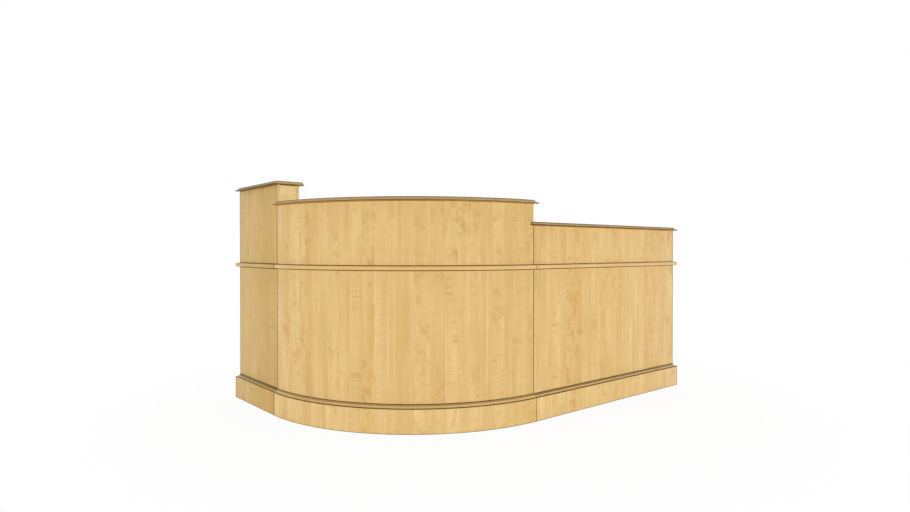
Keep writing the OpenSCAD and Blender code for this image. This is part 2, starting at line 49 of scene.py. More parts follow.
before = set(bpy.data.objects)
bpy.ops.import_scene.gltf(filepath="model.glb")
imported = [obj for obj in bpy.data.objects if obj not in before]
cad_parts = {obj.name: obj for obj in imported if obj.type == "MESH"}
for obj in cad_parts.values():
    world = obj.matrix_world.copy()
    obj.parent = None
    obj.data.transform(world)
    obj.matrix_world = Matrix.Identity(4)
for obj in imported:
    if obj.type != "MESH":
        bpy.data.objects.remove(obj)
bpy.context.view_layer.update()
LOG = logging.getLogger("counter")
MM = 0.001
WHITE = (1.0, 1.0, 1.0, 1.0)
# Height of the base moulding, a little more than its solid has
OGEE_TALL = 17.5 * MM
# Painted shade on the left module: its maple darker and yellower than on the other two walls
LEFT_PAINTED_SHADE = (0.807, 0.773, 0.588)
# Where most of a noise lies
MID_BAND = (0.2, 0.8)


class Grain(Enum):
    """How the grain of a wooden piece runs."""

    UPRIGHT = "upright on a wall panel"
    UPRIGHT_RETURN = "upright on a board that turns round the free ends"
    RUN = "along the wall and round its free ends"
    RIB = "upright on a rib that stands across the wall"
    X = "along X"
    Y = "along Y"
    Z = "upright"


class Slot(Enum):
    """Material slots, one named by each finish."""

    VENEER = "maple_veneer"
    SOLID = "maple_solid"
    WORKTOP = "worktop"
    PLYWOOD = "plywood"
    SOFTWOOD = "softwood"
    ZINC = "zinc_steel"
    NICKEL = "nickel"
    PLASTIC = "black_plastic"


class Body(Enum):
    """Bodies that the pieces ride on."""

    COUNTER = "counter"
    DRAWER = "till_drawer"
    MIDDLES = "runner_middles"
    LOCK = "drawer_lock"
    DOOR = "door"


def tone(*levels: int) -> Colour:
    """Turns an 8-bit sRGB colour into a linear one.

    Args:
        *levels: Red, green and blue from 0 to 255.

    Returns:
        The linear colour with a full alpha.
    """
    shares = [level / 255.0 for level in levels]
    linear = [share / 12.92 if share <= 0.04045 else ((share + 0.055) / 1.055) ** 2.4 for share in shares]
    return (*linear, 1.0)


def linked(name: str, data: bpy.types.ID) -> Object:
    """Makes an object and links it into the scene.

    Args:
        name: The object's name.
        data: Its mesh, curve, lamp or lens.

    Returns:
        The object.
    """
    made = bpy.data.objects.new(name, data)
    bpy.context.scene.collection.objects.link(made)
    return made


def numbers(items: Any, key: str, width: int = 3, kind: type = float) -> np.ndarray:
    """Reads one property of all the vertices, corners or faces of a mesh.

    Args:
        items: The mesh's collection.
        key: The property's name.
        width: How many numbers each item has.
        kind: The kind of number.

    Returns:
        The numbers, one row for each item.
    """
    flat = np.empty(len(items) * width, dtype=kind)
    items.foreach_get(key, flat)
    return flat.reshape(-1, width)


def arc(centre: Pair, radius: float, start: float, stop: float, steps: int) -> list[Pair]:
    """Returns points on a round, from one angle to another."""
    turns = np.linspace(start, stop, steps)
    return [(centre[0] + radius * math.cos(turn), centre[1] + radius * math.sin(turn)) for turn in turns]


@dataclass(frozen=True)
class Noise:
    """A noise in cycles per metre, the band over which it fades in, and how much of it shows."""

    scale: Triple
    detail: float = 2.0
    rough: float = 0.5
    band: Pair = MID_BAND
    share: float = 1.0


class Wiring:
    """Adds nodes to one node tree and links them."""

    def __init__(self, tree: bpy.types.NodeTree) -> None:
        """Keeps the tree that the nodes go into."""
        self.tree = tree

    def feed(self, socket: Socket, value: Any) -> None:
        """Links a socket to another one, or sets its plain value.

        Args:
            socket: The input to feed.
            value: An output socket, or a plain value.
        """
        if isinstance(value, Socket):
            self.tree.links.new(value, socket)
        else:
            socket.default_value = value

    def add(self, kind: str, inputs: dict[Any, Any] | None = None, **settings: Any) -> bpy.types.Node:
        """Adds one node.

        Args:
            kind: The node's type name.
            inputs: Values or sockets by input name or index.
            **settings: Properties to set before the inputs are fed.

        Returns:
            The new node.
        """
        node = self.tree.nodes.new(kind)
        for name, value in settings.items():
            setattr(node, name, value)
        for key, value in (inputs or {}).items():
            self.feed(node.inputs[key], value)
        return node

    def math(self, operation: str, first: Any, second: Any = 0.0) -> Socket:
        """Combines two numbers and returns the result's socket."""
        return self.add("ShaderNodeMath", {0: first, 1: second}, operation=operation).outputs[0]

    def plus(self, first: Any, second: Any) -> Socket:
        """Returns the sum of two numbers."""
        return self.math("ADD", first, second)

    def minus(self, first: Any, second: Any) -> Socket:
        """Returns the first number less the second."""
        return self.math("SUBTRACT", first, second)

    def times(self, first: Any, second: Any) -> Socket:
        """Returns the product of two numbers."""
        return self.math("MULTIPLY", first, second)

    def most(self, first: Any, second: Any) -> Socket:
        """Returns the greater of two numbers."""
        return self.math("MAXIMUM", first, second)


class Shading(Wiring):
    """Wires one material around its main shader."""

    def __init__(self, name: str) -> None:
        """Makes the material with its shader and output.

        Args:
            name: The material's name.
        """
        self.material = bpy.data.materials.new(name)
        self.material.use_nodes = True
        super().__init__(self.material.node_tree)
        self.shader = self.tree.nodes["Principled BSDF"]

    def set(self, **values: Any) -> None:
        """Feeds the shader's own sockets, with underscores for the blanks in their names."""
        for name, value in values.items():
            self.feed(self.shader.inputs[name.replace("_", " ")], value)

    def place(self) -> Socket:
        """Returns the piece's own grain coordinates, in metres."""
        return self.add("ShaderNodeAttribute", attribute_name="grain_place").outputs["Vector"]

    def spot(self) -> Socket:
        """Returns the object coordinates, in metres."""
        return self.add("ShaderNodeTexCoord").outputs["Object"]

    def parts(self, vector: Socket) -> tuple[Socket, ...]:
        """Returns the three numbers of a vector."""
        return tuple(self.add("ShaderNodeSeparateXYZ", {0: vector}).outputs)

    def stretched(self, vector: Socket, scale: Triple) -> Socket:
        """Returns a vector multiplied part by part."""
        return self.add("ShaderNodeVectorMath", {0: vector, 1: scale}, operation="MULTIPLY").outputs[0]

    def noise(self, vector: Socket, noise: Noise) -> Socket:
        """Adds a noise on coordinates in metres.

        Args:
            vector: The coordinates.
            noise: The noise's scale and make.

        Returns:
            The noise, from 0 to 1.
        """
        inputs = {"Vector": self.stretched(vector, noise.scale), "Scale": 1.0, "Detail": noise.detail,
                  "Roughness": noise.rough}
        return self.add("ShaderNodeTexNoise", inputs).outputs[0]

    def span(self, value: Any, low: float, high: float, start: float = 0.0, end: float = 1.0) -> Socket:
        """Maps a number from one range to another, smoothly and held at the ends."""
        inputs = {"Value": value, 1: low, 2: high, 3: start, 4: end}
        return self.add("ShaderNodeMapRange", inputs, interpolation_type="SMOOTHSTEP").outputs[0]

    def mask(self, vector: Socket, noise: Noise) -> Socket:
        """Returns where a noise is past its band, from 0 to its share."""
        return self.span(self.noise(vector, noise), *noise.band, 0.0, noise.share)

    def mix(self, factor: Any, first: Any, second: Any, blend: str = "MIX") -> Socket:
        """Returns a blend of two colours."""
        node = self.add("ShaderNodeMix", {0: factor, 6: first, 7: second}, data_type="RGBA", blend_type=blend)
        return node.outputs[2]

    def bump(self, height: Socket, strength: float, distance: float) -> None:
        """Roughens the surface by a height."""
        node = self.add("ShaderNodeBump", {"Height": height, "Strength": strength, "Distance": distance})
        self.set(Normal=node.outputs[0])


class Finish:
    """A finish that makes its material once."""

    name: str
    slot: Slot

    def material(self) -> bpy.types.Material:
        """Returns the finish's material, wired on first use."""
        made = bpy.data.materials.get(self.name)
        return made if made else self.wire(Shading(self.name))

    def wire(self, shading: Shading) -> bpy.types.Material:
        """Wires the material and returns it."""
        raise NotImplementedError


@dataclass(frozen=True)
class Maple(Finish):
    """Lacquered maple in strips, with streaks, curl, flecks, dark joint seams, painted shadow lines and a
    painted shade band.
    """

    name: str
    slot: Slot = Slot.VENEER
    shade: Triple = (1.0, 1.0, 1.0)
    # Strips of veneer: their width, its spread, and how far each one moves its figure
    strip: float = 0.062
    strip_spread: float = 0.9
    strip_shift: Triple = (3.0, 9.0, 5.0)
    contrast: float = 1.0
    # Painted shadow lines along mouldings, caps and the floor, dark seams at the joints, and a band of
    # painted shade in a cove
    lines_across: tuple[float, ...] = ()
    lines_along: tuple[float, ...] = ()
    seams_across: tuple[float, ...] = ()
    seams_along: tuple[float, ...] = ()
    lines_from: float = 0.0
    line_half: float = 2.0 * MM
    seam_half: float = 1.5 * MM
    line_edge: Pair = (0.7, 1.2)
    painted_shade_band: Pair = (0.0, 0.0)
    painted_shade_share: float = 0.85
    fade: float = 1.0 * MM
    pale: Colour = tone(236, 205, 143)
    deep: Colour = tone(218, 179, 110)
    fleck: Colour = tone(208, 157, 86)
    # Tone of the dark joint seams and of the painted shadow lines
    joint_and_shadow_tone: Colour = tone(88, 61, 18)
    # Tone of the painted shade band
    painted_shade_tone: Colour = tone(150, 124, 78)
    # Figure: streaks and clouds all over, blotches and curl in some strips, threads and pores
    fine: Noise = Noise((300.0, 7.0, 300.0), 3.0, 0.6, share=0.3)
    streak: Noise = Noise((34.0, 1.3, 34.0), 4.0, 0.62, share=0.75)
    cloud: Noise = Noise((12.0, 3.0, 12.0), share=0.8)
    strip_share: float = 0.25
    patch: Noise = Noise((7.0, 4.0, 7.0), band=(0.4, 0.56))
    blotch: Noise = Noise((21.0, 17.0, 21.0), 4.0, 0.66, (0.47, 0.66))
    blotch_chance: Pair = (0.15, 0.85)
    blotch_share: Pair = (0.15, 0.7)
    wave: Noise = Noise((2.5, 34.0, 2.5))
    crest: Pair = (0.004, 0.035)
    dash: Noise = Noise((26.0, 9.0, 26.0), band=(0.46, 0.6), share=0.6)
    curl_chance: Pair = (0.45, 0.9)
    fleck_share: float = 0.95
    thread: Noise = Noise((75.0, 0.9, 75.0), 2.0, 0.6, (0.56, 0.74), 0.4)
    pores: Noise = Noise((800.0, 36.0, 800.0), 1.0, band=(0.66, 0.8))
    pore_share: float = 0.2
    # Gloss and relief
    gloss: float = 0.4
    gloss_swing: Pair = (-0.05, 0.11)
    worn_band: Pair = (0.2, 0.9)
    worn_figure: float = 0.2
    sheen: float = 0.25
    streak_relief: float = 0.6
    pore_relief: float = 0.5
    relief: Pair = (0.09, 0.3 * MM)

    def line_mask(self, shading: Shading, coordinate: Socket, lines: tuple[float, ...], half: float,
                  mask: Any) -> Any:
        """Adds dark lines on one coordinate to a mask; they serve as painted shadow lines and as dark joint
        seams.

        Args:
            shading: The material being wired.
            coordinate: The coordinate that the lines stand on.
            lines: Their places.
            half: Half of a line's width.
            mask: The mask so far.

        Returns:
            The mask with the lines, from 0 to 1.
        """
        solid, gone = self.line_edge
        for line in lines:
            gap = shading.math("ABSOLUTE", shading.minus(coordinate, line))
            mask = shading.most(mask, shading.span(gap, half * solid, half * gone, 1.0, 0.0))
        return mask

    def joint_and_shadow_lines(self, shading: Shading, across: Socket, along: Socket, out: Socket) -> Socket:
        """Wires all the dark lines: the painted shadow lines and the dark joint seams.

        Args:
            shading: The material being wired.
            across: The coordinate across the grain.
            along: The coordinate along the grain.
            out: The coordinate out of the piece's face.

        Returns:
            The mask of seams and lines, from 0 to 1.
        """
        seams = self.line_mask(shading, across, self.seams_across, self.seam_half, 0.0)
        seams = self.line_mask(shading, along, self.seams_along, self.seam_half, seams)
        lines = self.line_mask(shading, across, self.lines_across, self.line_half, 0.0)
        lines = self.line_mask(shading, along, self.lines_along, self.line_half, lines)
        if self.lines_from:
            lines = shading.times(lines, shading.span(out, self.lines_from, self.lines_from + self.fade))
        return shading.most(lines, seams)

    def figure(self, shading: Shading, own: Socket, chance: Any) -> tuple[Socket, Socket]:
        """Wires the flecks and the curl that some strips have.

        Args:
            shading: The material being wired.
            own: The grain coordinates, shifted for each strip.
            chance: Three random numbers for each strip.

        Returns:
            The masks of the dark figure and of the pale one.
        """
        flecks = shading.times(shading.mask(own, self.blotch), shading.mask(own, self.patch))
        flecks = shading.times(flecks, shading.span(chance[1], *self.blotch_chance, *self.blotch_share))
        crest = shading.math("ABSOLUTE", shading.minus(shading.noise(own, self.wave), 0.5))
        curl = shading.times(shading.span(crest, *self.crest, 1.0, 0.0),
                             shading.span(chance[2], *self.curl_chance))
        curl = shading.times(curl, shading.mask(own, self.dash))
        return shading.most(flecks, curl), shading.mask(own, self.thread)

    def wire(self, shading: Shading) -> bpy.types.Material:
        """Wires strips, streaks, curl, flecks, lines, gloss and relief.

        Args:
            shading: The material being wired.

        Returns:
            The material.
        """
        place = shading.place()
        across, along, out = shading.parts(place)
        turn = shading.math("DIVIDE", across, self.strip)
        cell = {"W": turn, "Scale": 1.0, "Randomness": self.strip_spread}
        strips = shading.add("ShaderNodeTexVoronoi", cell, voronoi_dimensions="1D").outputs["Color"]
        chance = shading.add("ShaderNodeSeparateColor", {0: strips}).outputs
        shift = shading.stretched(strips, self.strip_shift)
        own = shading.add("ShaderNodeVectorMath", {0: place, 1: shift}, operation="ADD").outputs[0]
        fine = shading.noise(own, self.fine)
        streak = shading.noise(own, self.streak)
        dark, pale = self.figure(shading, own, chance)
        dots = shading.mask(own, self.pores)
        swings = ((chance[0], self.strip_share), (streak, self.streak.share),
                  (shading.noise(own, self.cloud), self.cloud.share), (fine, self.fine.share))
        level: Any = 0.5
        for part, share in swings:
            level = shading.plus(level, shading.times(shading.minus(part, 0.5), share * self.contrast))
        level = shading.plus(level, shading.times(pale, self.contrast))
        colour = shading.mix(shading.span(level, 0.0, 1.0), self.deep, self.pale)
        colour = shading.mix(shading.times(dark, self.fleck_share * self.contrast), colour, self.fleck)
        colour = shading.mix(shading.times(dots, self.pore_share), colour, self.fleck)
        # A tint on the maple's colour; on the left module and on the caps it is painted shade
        if min(self.shade) != 1.0:
            colour = shading.mix(1.0, colour, (*self.shade, 1.0), "MULTIPLY")
        # Painted shade in a band across the grain, for the base moulding's shaded cove
        low, high = self.painted_shade_band
        if high > low:
            inside = shading.times(shading.span(across, low, low + self.fade),
                                   shading.span(across, high - self.fade, high, 1.0, 0.0))
            colour = shading.mix(shading.times(inside, self.painted_shade_share), colour, self.painted_shade_tone)
        # Painted shadow lines and dark joint seams
        colour = shading.mix(self.joint_and_shadow_lines(shading, across, along, out), colour, self.joint_and_shadow_tone)
        worn = shading.plus(streak, shading.times(dark, self.worn_figure))
        glossy, matt = (self.gloss + swing for swing in self.gloss_swing)
        rough = shading.span(worn, *self.worn_band, glossy, matt)
        shading.set(Base_Color=colour, Roughness=rough, Specular_IOR_Level=self.sheen)
        height = shading.plus(fine, shading.times(streak, self.streak_relief))
        shading.bump(shading.minus(height, shading.times(dots, self.pore_relief)), *self.relief)
        return shading.material


@dataclass(frozen=True)
class Plywood(Finish):
    """Sealed birch plywood, as a face veneer or as the plies on an edge."""

    name: str
    slot: Slot = Slot.PLYWOOD
    on_edge: bool = False
    ply: float = 1.4 * MM
    pale: Colour = tone(228, 205, 163)
    deep: Colour = tone(206, 177, 128)
    glue: Colour = tone(150, 112, 70)
    flame: Noise = Noise((16.0, 2.4, 16.0), 2.0, 0.55, share=0.16)
    flame_turns: float = 46.0
    tint_band: Pair = (0.15, 0.95)
    fine: Noise = Noise((430.0, 15.0, 430.0), 3.0, 0.6)
    pins: Noise = Noise((130.0, 75.0, 130.0), 1.0, band=(0.72, 0.8), share=0.35)
    wander: Noise = Noise((9.0, 9.0, 9.0), share=0.5)
    glue_band: Pair = (0.42, 0.58)
    glue_share: float = 0.55
    rough: Pair = (0.46, 0.62)
    relief: Pair = (0.12, 0.25 * MM)

    def wire(self, shading: Shading) -> bpy.types.Material:
        """Wires the rotary-cut figure, and the plies where the finish is on an edge.

        Args:
            shading: The material being wired.

        Returns:
            The material.
        """
        place = shading.place()
        bands = shading.math("SINE", shading.times(shading.noise(place, self.flame), self.flame_turns))
        fine = shading.noise(place, self.fine)
        level = shading.plus(shading.times(bands, self.flame.share), fine)
        colour = shading.mix(shading.span(level, *self.tint_band), self.deep, self.pale)
        colour = shading.mix(shading.mask(place, self.pins), colour, self.glue)
        if self.on_edge:
            wander = shading.times(shading.noise(place, self.wander), self.wander.share)
            depth = shading.math("DIVIDE", shading.parts(place)[2], self.ply)
            turn = shading.math("PINGPONG", shading.plus(depth, wander), 1.0)
            glued = shading.span(turn, *self.glue_band, 0.0, self.glue_share)
            colour = shading.mix(glued, colour, self.glue)
        shading.set(Base_Color=colour, Roughness=shading.span(fine, *MID_BAND, *self.rough))
        shading.bump(fine, *self.relief)
        return shading.material


@dataclass(frozen=True)
class Softwood(Finish):
    """Planed softwood with growth rings and a few small knots."""

    name: str = "planed_softwood"
    slot: Slot = Slot.SOFTWOOD
    pale: Colour = tone(232, 207, 158)
    late: Colour = tone(202, 158, 96)
    knot: Colour = tone(128, 82, 44)
    heart: float = 0.09
    bend: Noise = Noise((5.0, 0.9, 5.0), share=0.05)
    rings_per_metre: float = 260.0
    late_band: Pair = (0.35, 0.95)
    late_share: float = 0.75
    fibre: Noise = Noise((600.0, 8.0, 600.0), 3.0, 0.6, share=0.35)
    knot_scale: Triple = (7.0, 2.6, 7.0)
    knot_band: Pair = (0.05, 0.1)
    knot_share: float = 0.8
    rough: Pair = (0.55, 0.75)
    ring_relief: float = 0.4
    relief: Pair = (0.2, 0.4 * MM)

    def wire(self, shading: Shading) -> bpy.types.Material:
        """Wires the rings, the fibres and the knots.

        Args:
            shading: The material being wired.

        Returns:
            The material.
        """
        place = shading.place()
        across, _, depth = shading.parts(place)
        bend = shading.times(shading.noise(place, self.bend), self.bend.share)
        heart = shading.math("POWER", shading.plus(depth, self.heart), 2.0)
        reach = shading.math("SQRT", shading.plus(shading.math("POWER", across, 2.0), heart))
        rings = shading.math("PINGPONG", shading.times(shading.plus(reach, bend), self.rings_per_metre), 1.0)
        fibre = shading.noise(place, self.fibre)
        cell = {"Vector": shading.stretched(place, self.knot_scale), "Scale": 1.0}
        far = shading.add("ShaderNodeTexVoronoi", cell).outputs["Distance"]
        knots = shading.span(far, *self.knot_band, 1.0, 0.0)
        colour = shading.mix(shading.span(rings, *self.late_band, 0.0, self.late_share), self.pale, self.late)
        colour = shading.mix(shading.times(fibre, self.fibre.share), colour, self.late)
        colour = shading.mix(shading.times(knots, self.knot_share), colour, self.knot)
        shading.set(Base_Color=colour, Roughness=shading.span(fibre, *MID_BAND, *self.rough))
        shading.bump(shading.plus(fibre, shading.times(rings, self.ring_relief)), *self.relief)
        return shading.material


@dataclass(frozen=True)
class Metal(Finish):
    """Plated metal with brushing, faint cloudiness and rubbed spots."""

    name: str
    slot: Slot
    plate: Colour
    cloud: Colour
    rough: float
    brush: Noise = Noise((900.0, 900.0, 60.0), 2.0, 0.6)
    brush_swing: Pair = (-0.06, 0.08)
    haze: Noise = Noise((60.0, 60.0, 60.0), 3.0, 0.6, (0.3, 0.7))
    rubs: Noise = Noise((150.0, 150.0, 150.0), band=(0.62, 0.75), share=0.1)
    relief: Pair = (0.06, 0.05 * MM)

    def wire(self, shading: Shading) -> bpy.types.Material:
        """Wires the plating's colour, its gloss and the brushing.

        Args:
            shading: The material being wired.

        Returns:
            The material.
        """
        spot = shading.spot()
        hairs = shading.noise(spot, self.brush)
        colour = shading.mix(shading.mask(spot, self.haze), self.plate, self.cloud)
        brushed = shading.span(hairs, *self.brush.band, *(self.rough + swing for swing in self.brush_swing))
        rough = shading.plus(brushed, shading.mask(spot, self.rubs))
        shading.set(Base_Color=colour, Metallic=1.0, Roughness=rough)
        shading.bump(hairs, *self.relief)
        return shading.material


@dataclass(frozen=True)
class Plastic(Finish):
    """Moulded plastic with a fine spark texture and scuffs."""

    name: str = "moulded_black"
    slot: Slot = Slot.PLASTIC
    base: Colour = tone(38, 38, 40)
    scuff: Colour = tone(74, 74, 76)
    scuffs: Noise = Noise((90.0, 400.0, 220.0), 3.0, 0.65, (0.58, 0.75), 0.5)
    spark: Noise = Noise((1500.0, 1500.0, 1500.0), 2.0, 0.7, (0.25, 0.75))
    rough: Pair = (0.38, 0.56)
    relief: Pair = (0.2, 0.12 * MM)

    def wire(self, shading: Shading) -> bpy.types.Material:
        """Wires the grain and the scuffs.

        Args:
            shading: The material being wired.

        Returns:
            The material.
        """
        spot = shading.spot()
        spark = shading.noise(spot, self.spark)
        shading.set(Base_Color=shading.mix(shading.mask(spot, self.scuffs), self.base, self.scuff))
        shading.set(Roughness=shading.span(spark, *self.spark.band, *self.rough))
        shading.bump(spark, *self.relief)
        return shading.material


EDGE_BAND = Maple("maple_edge_band", strip=0.31, contrast=0.6, pale=tone(243, 218, 162),
                  deep=tone(231, 201, 142))
ARRIS = Maple("maple_worn_arris", shade=(0.6, 0.58, 0.54), contrast=0.8)
# Paler than the wall veneer: painted light that lifts the tower's end, which gets less light than the walls
JOINT_MAPLE = Maple("maple_joint_veneer", strip=0.2, contrast=0.6, pale=tone(248, 227, 175),
                    deep=tone(239, 212, 154))
BIRCH_EDGE = Plywood("birch_edge", on_edge=True)
SOFTWOOD = Softwood()
ZINC = Metal("zinc_plate", Slot.ZINC, tone(205, 208, 212), tone(182, 184, 186), 0.34)
NICKEL = Metal("satin_nickel", Slot.NICKEL, tone(214, 209, 200), tone(198, 192, 181), 0.26,
               Noise((1200.0, 140.0, 1200.0), 2.0, 0.6))
BLACK = Plastic()


@dataclass(frozen=True)
class Dress:
    """Finishes of a board's faces, edges and arrises."""

    face: Finish
    edge: Finish = EDGE_BAND
    arris: Finish = ARRIS


INNER_DRESS = Dress(Maple("maple_inner_veneer"))
JOINT_DRESS = Dress(JOINT_MAPLE)
BIRCH_DRESS = Dress(Plywood("birch_face"), BIRCH_EDGE, BIRCH_EDGE)


@dataclass(frozen=True)
class Plan:
    """Faces and seams of the three walls, in metres in plan."""

    left_x: float
    right_y: float
    seam_x: float
    seam_y: float
    left_end: float
    right_end: float
    seam_slack: float = 1e-5
    end_slack: float = 1e-4

    @classmethod
    def read(cls) -> Plan:
        """Reads the walls' places from their front panels.

        Returns:
            The plan.
        """
        left_low, left_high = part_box("left_front_panel")
        right_low, right_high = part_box("right_front_panel")
        return cls(left_low.x, right_low.y, right_low.x, left_low.y, left_high.y, right_high.x)

    @property
    def corner_r(self) -> float:
        """Radius of the curved wall's outer face."""
        return self.seam_x - self.left_x

    @property
    def quarter(self) -> float:
        """Length of the curved wall's outer face."""
        return self.corner_r * math.pi / 2

    @property
    def left_stop(self) -> float:
        """Where the run along the customer face reaches the left wall's free end."""
        return self.seam_y - self.left_end

    @property
    def right_stop(self) -> float:
        """Where the run along the customer face reaches the right wall's free end."""
        return self.quarter + self.right_end - self.seam_x

    def run(self, points: np.ndarray, centres: np.ndarray, returns: bool) -> tuple[np.ndarray, ...]:
        """Follows the customer face round the counter.

        Args:
            points: Places to follow, one row each.
            centres: The middle of the face that each place belongs to.
            returns: Whether the run turns round the free ends.

        Returns:
            The distance along the run, the distance out of it, and the outward directions.
        """
        x, y = points[:, 0], points[:, 1]
        mid_x, mid_y = centres[:, 0], centres[:, 1]
        left = mid_y > self.seam_y - self.seam_slack
        right = ~left & (mid_x > self.seam_x - self.seam_slack)
        turn = np.arctan2(self.seam_y - y, self.seam_x - x)
        far = np.hypot(self.seam_x - x, self.seam_y - y) - self.corner_r
        middle = np.arctan2(self.seam_y - mid_y, self.seam_x - mid_x)
        along = np.select([left, right], [self.seam_y - y, self.quarter + x - self.seam_x],
                          turn * self.corner_r)
        out = np.select([left, right], [self.left_x - x, self.right_y - y], far)
        way_x = np.select([left, right], [-1.0, 0.0], -np.cos(middle))
        way_y = np.select([left, right], [0.0, -1.0], -np.sin(middle))
        if returns:
            # Twice the distance out keeps the run unbroken round the mitres
            over = mid_y - self.left_end
            at_left = left & (over > -self.end_slack) & (over > self.left_x - mid_x)
            out = np.where(at_left, y - self.left_end, out)
            along = np.where(at_left, self.left_stop - (x - self.left_x) - 2.0 * out, along)
            over = mid_x - self.right_end
            at_right = right & (over > -self.end_slack) & (over > self.right_y - mid_y)
            out = np.where(at_right, x - self.right_end, out)
            along = np.where(at_right, self.right_stop + (y - self.right_y) + 2.0 * out, along)
            way_x = np.select([at_left, at_right], [0.0, 1.0], way_x)
            way_y = np.select([at_left, at_right], [1.0, 0.0], way_y)
        return along, out, np.stack([way_x, way_y, np.zeros_like(way_x)], axis=1)


@dataclass
class Workshop:
    """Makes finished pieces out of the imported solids."""

    plan: Plan
    weld: float = 5e-6
    flat: float = math.radians(0.3)
    arris_from: float = math.radians(32.0)
    arris_steps: int = 2
    smooth: float = math.radians(35.0)
    face_from: float = 0.93
    edge_to: float = 0.36
    made: list[str] = field(default_factory=list)

    def cut(self, node: str, round_over: float,
            reshape: Callable[[bmesh.types.BMesh], None] | None = None) -> Object:
        """Copies a solid, merges its triangles and rounds its edges over.

        Args:
            node: The solid's name.
            round_over: Width of the rounded edge in metres.
            reshape: What to change on the shape before its edges are rounded.

        Returns:
            The new piece, with its modifiers applied.
        """
        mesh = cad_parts[node].data.copy()
        mesh.materials.clear()
        shape = bmesh.new()
        shape.from_mesh(mesh)
        bmesh.ops.remove_doubles(shape, verts=shape.verts, dist=self.weld)
        if reshape:
            reshape(shape)
        bmesh.ops.dissolve_limit(shape, angle_limit=self.flat, verts=shape.verts, edges=shape.edges)
        shape.to_mesh(mesh)
        shape.free()
        rough = linked(node + "_rough", mesh)
        bevel = rough.modifiers.new("round_over", "BEVEL")
        bevel.width = round_over
        bevel.segments = self.arris_steps
        bevel.limit_method = "ANGLE"
        bevel.angle_limit = self.arris_from
        bevel.use_clamp_overlap = False
        return self.applied(rough, node)

    def applied(self, rough: Object, node: str) -> Object:
        """Turns an object with modifiers into a plain piece.

        Args:
            rough: The object, which is removed.
            node: The name that the piece's own name starts with.

        Returns:
            The piece, at the origin.
        """
        graph = bpy.context.evaluated_depsgraph_get()
        mesh = bpy.data.meshes.new_from_object(rough.evaluated_get(graph), preserve_all_data_layers=True,
                                               depsgraph=graph)
        rough.modifiers.clear()
        bpy.data.objects.remove(rough)
        mesh.name = node + "_piece"
        mesh.shade_smooth()
        mesh.set_sharp_from_angle(angle=self.smooth)
        return linked(node + "_piece", mesh)

    def lay_grain(self, piece: Object, grain: Grain) -> np.ndarray:
        """Writes the grain coordinates on a piece.

        Args:
            piece: The piece to write on.
            grain: How its grain runs.

        Returns:
            How far each face looks along the board's thickness, from 0 to 1.
        """
        mesh = piece.data
        places = numbers(mesh.vertices, "co")
        owners = numbers(mesh.loops, "vertex_index", 1, int)[:, 0]
        counts = numbers(mesh.polygons, "loop_total", 1, int)[:, 0]
        normals = numbers(mesh.polygons, "normal")
        middles = numbers(mesh.polygons, "center")
        points = places[owners]
        centres = np.repeat(middles, counts, axis=0)
        low = places.min(axis=0)
        if grain in (Grain.X, Grain.Y, Grain.Z):
            axis = "XYZ".index(grain.name)
            others = (number for number in range(3) if number != axis)
            thin, wide = sorted(others, key=lambda number: np.ptp(places[:, number]))
            coordinates = np.stack([points[:, wide], points[:, axis], points[:, thin] - low[thin]], 1)
            facing = np.abs(normals[:, thin])
        else:
            along, out, _ = self.plan.run(points, centres, grain is not Grain.UPRIGHT)
            way = self.plan.run(middles, middles, grain is not Grain.UPRIGHT)[2]
            if grain is Grain.RUN:
                coordinates = np.stack([points[:, 2] - low[2], along, out], 1)
            elif grain is Grain.RIB:
                coordinates = np.stack([out, points[:, 2], along], 1)
                way = np.stack([way[:, 1], -way[:, 0], way[:, 2]], 1)
            else:
                coordinates = np.stack([along, points[:, 2], out], 1)
            facing = np.abs((normals * way).sum(axis=1))
        layer = mesh.attributes.new("grain_place", "FLOAT_VECTOR", "CORNER")
        layer.data.foreach_set("vector", coordinates.astype(np.float32).ravel())
        return facing

    def lay_finishes(self, piece: Object, finishes: list[Finish], choice: np.ndarray) -> None:
        """Gives each face of a piece one of several finishes.

        Args:
            piece: The piece.
            finishes: The finishes.
            choice: The number of each face's finish.
        """
        for finish in finishes:
            piece.data.materials.append(finish.material())
        piece.data.polygons.foreach_set("material_index", choice.astype(np.int32))

    def board(self, grain: Grain, dress: Dress, *nodes: str, body: Body = Body.COUNTER,
              round_over: float = 1.0 * MM) -> None:
        """Makes wooden boards with their own faces, edges and arrises.

        Args:
            grain: How their grain runs.
            dress: Their three finishes.
            *nodes: The solids that they stand for.
            body: The body that they ride on.
            round_over: Width of their rounded edges.
        """
        for node in nodes:
            piece = self.cut(node, round_over)
            facing = self.lay_grain(piece, grain)
            choice = np.select([facing > self.face_from, facing < self.edge_to], [0, 1], 2)
            self.lay_finishes(piece, [dress.face, dress.edge, dress.arris], choice)
            self.hand_in(piece, body, dress.face.slot, node)

    def plain(self, finish: Finish, *nodes: str, grain: Grain | None = None, body: Body = Body.COUNTER,
              round_over: float = 0.25 * MM, redraw: Callable[[Object], None] | None = None) -> None:
        """Makes pieces with one finish all over.

        Args:
            finish: The finish.
            *nodes: The solids that they stand for.
            grain: How their grain runs, if they are of wood.
            body: The body that they ride on.
            round_over: Width of their rounded edges.
            redraw: What to change on a piece once its edges are rounded.
        """
        for node in nodes:
            piece = self.cut(node, round_over)
            if redraw:
                redraw(piece)
            if grain:
                self.lay_grain(piece, grain)
            piece.data.materials.append(finish.material())
            self.hand_in(piece, body, finish.slot, node)

    def hand_in(self, piece: Object, body: Body, slot: Slot, *nodes: str) -> None:
        """Puts a piece on its body in place of its solids.

        Args:
            piece: The finished piece.
            body: The body that it rides on.
            slot: The piece's material slot; not used.
            *nodes: The solids that it stands for.
        """
        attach(piece, body.value)
        if nodes:
            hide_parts(*nodes)
        self.made.append(piece.name)
        LOG.info("%s: %d faces on %s", piece.name, len(piece.data.polygons), body.value)


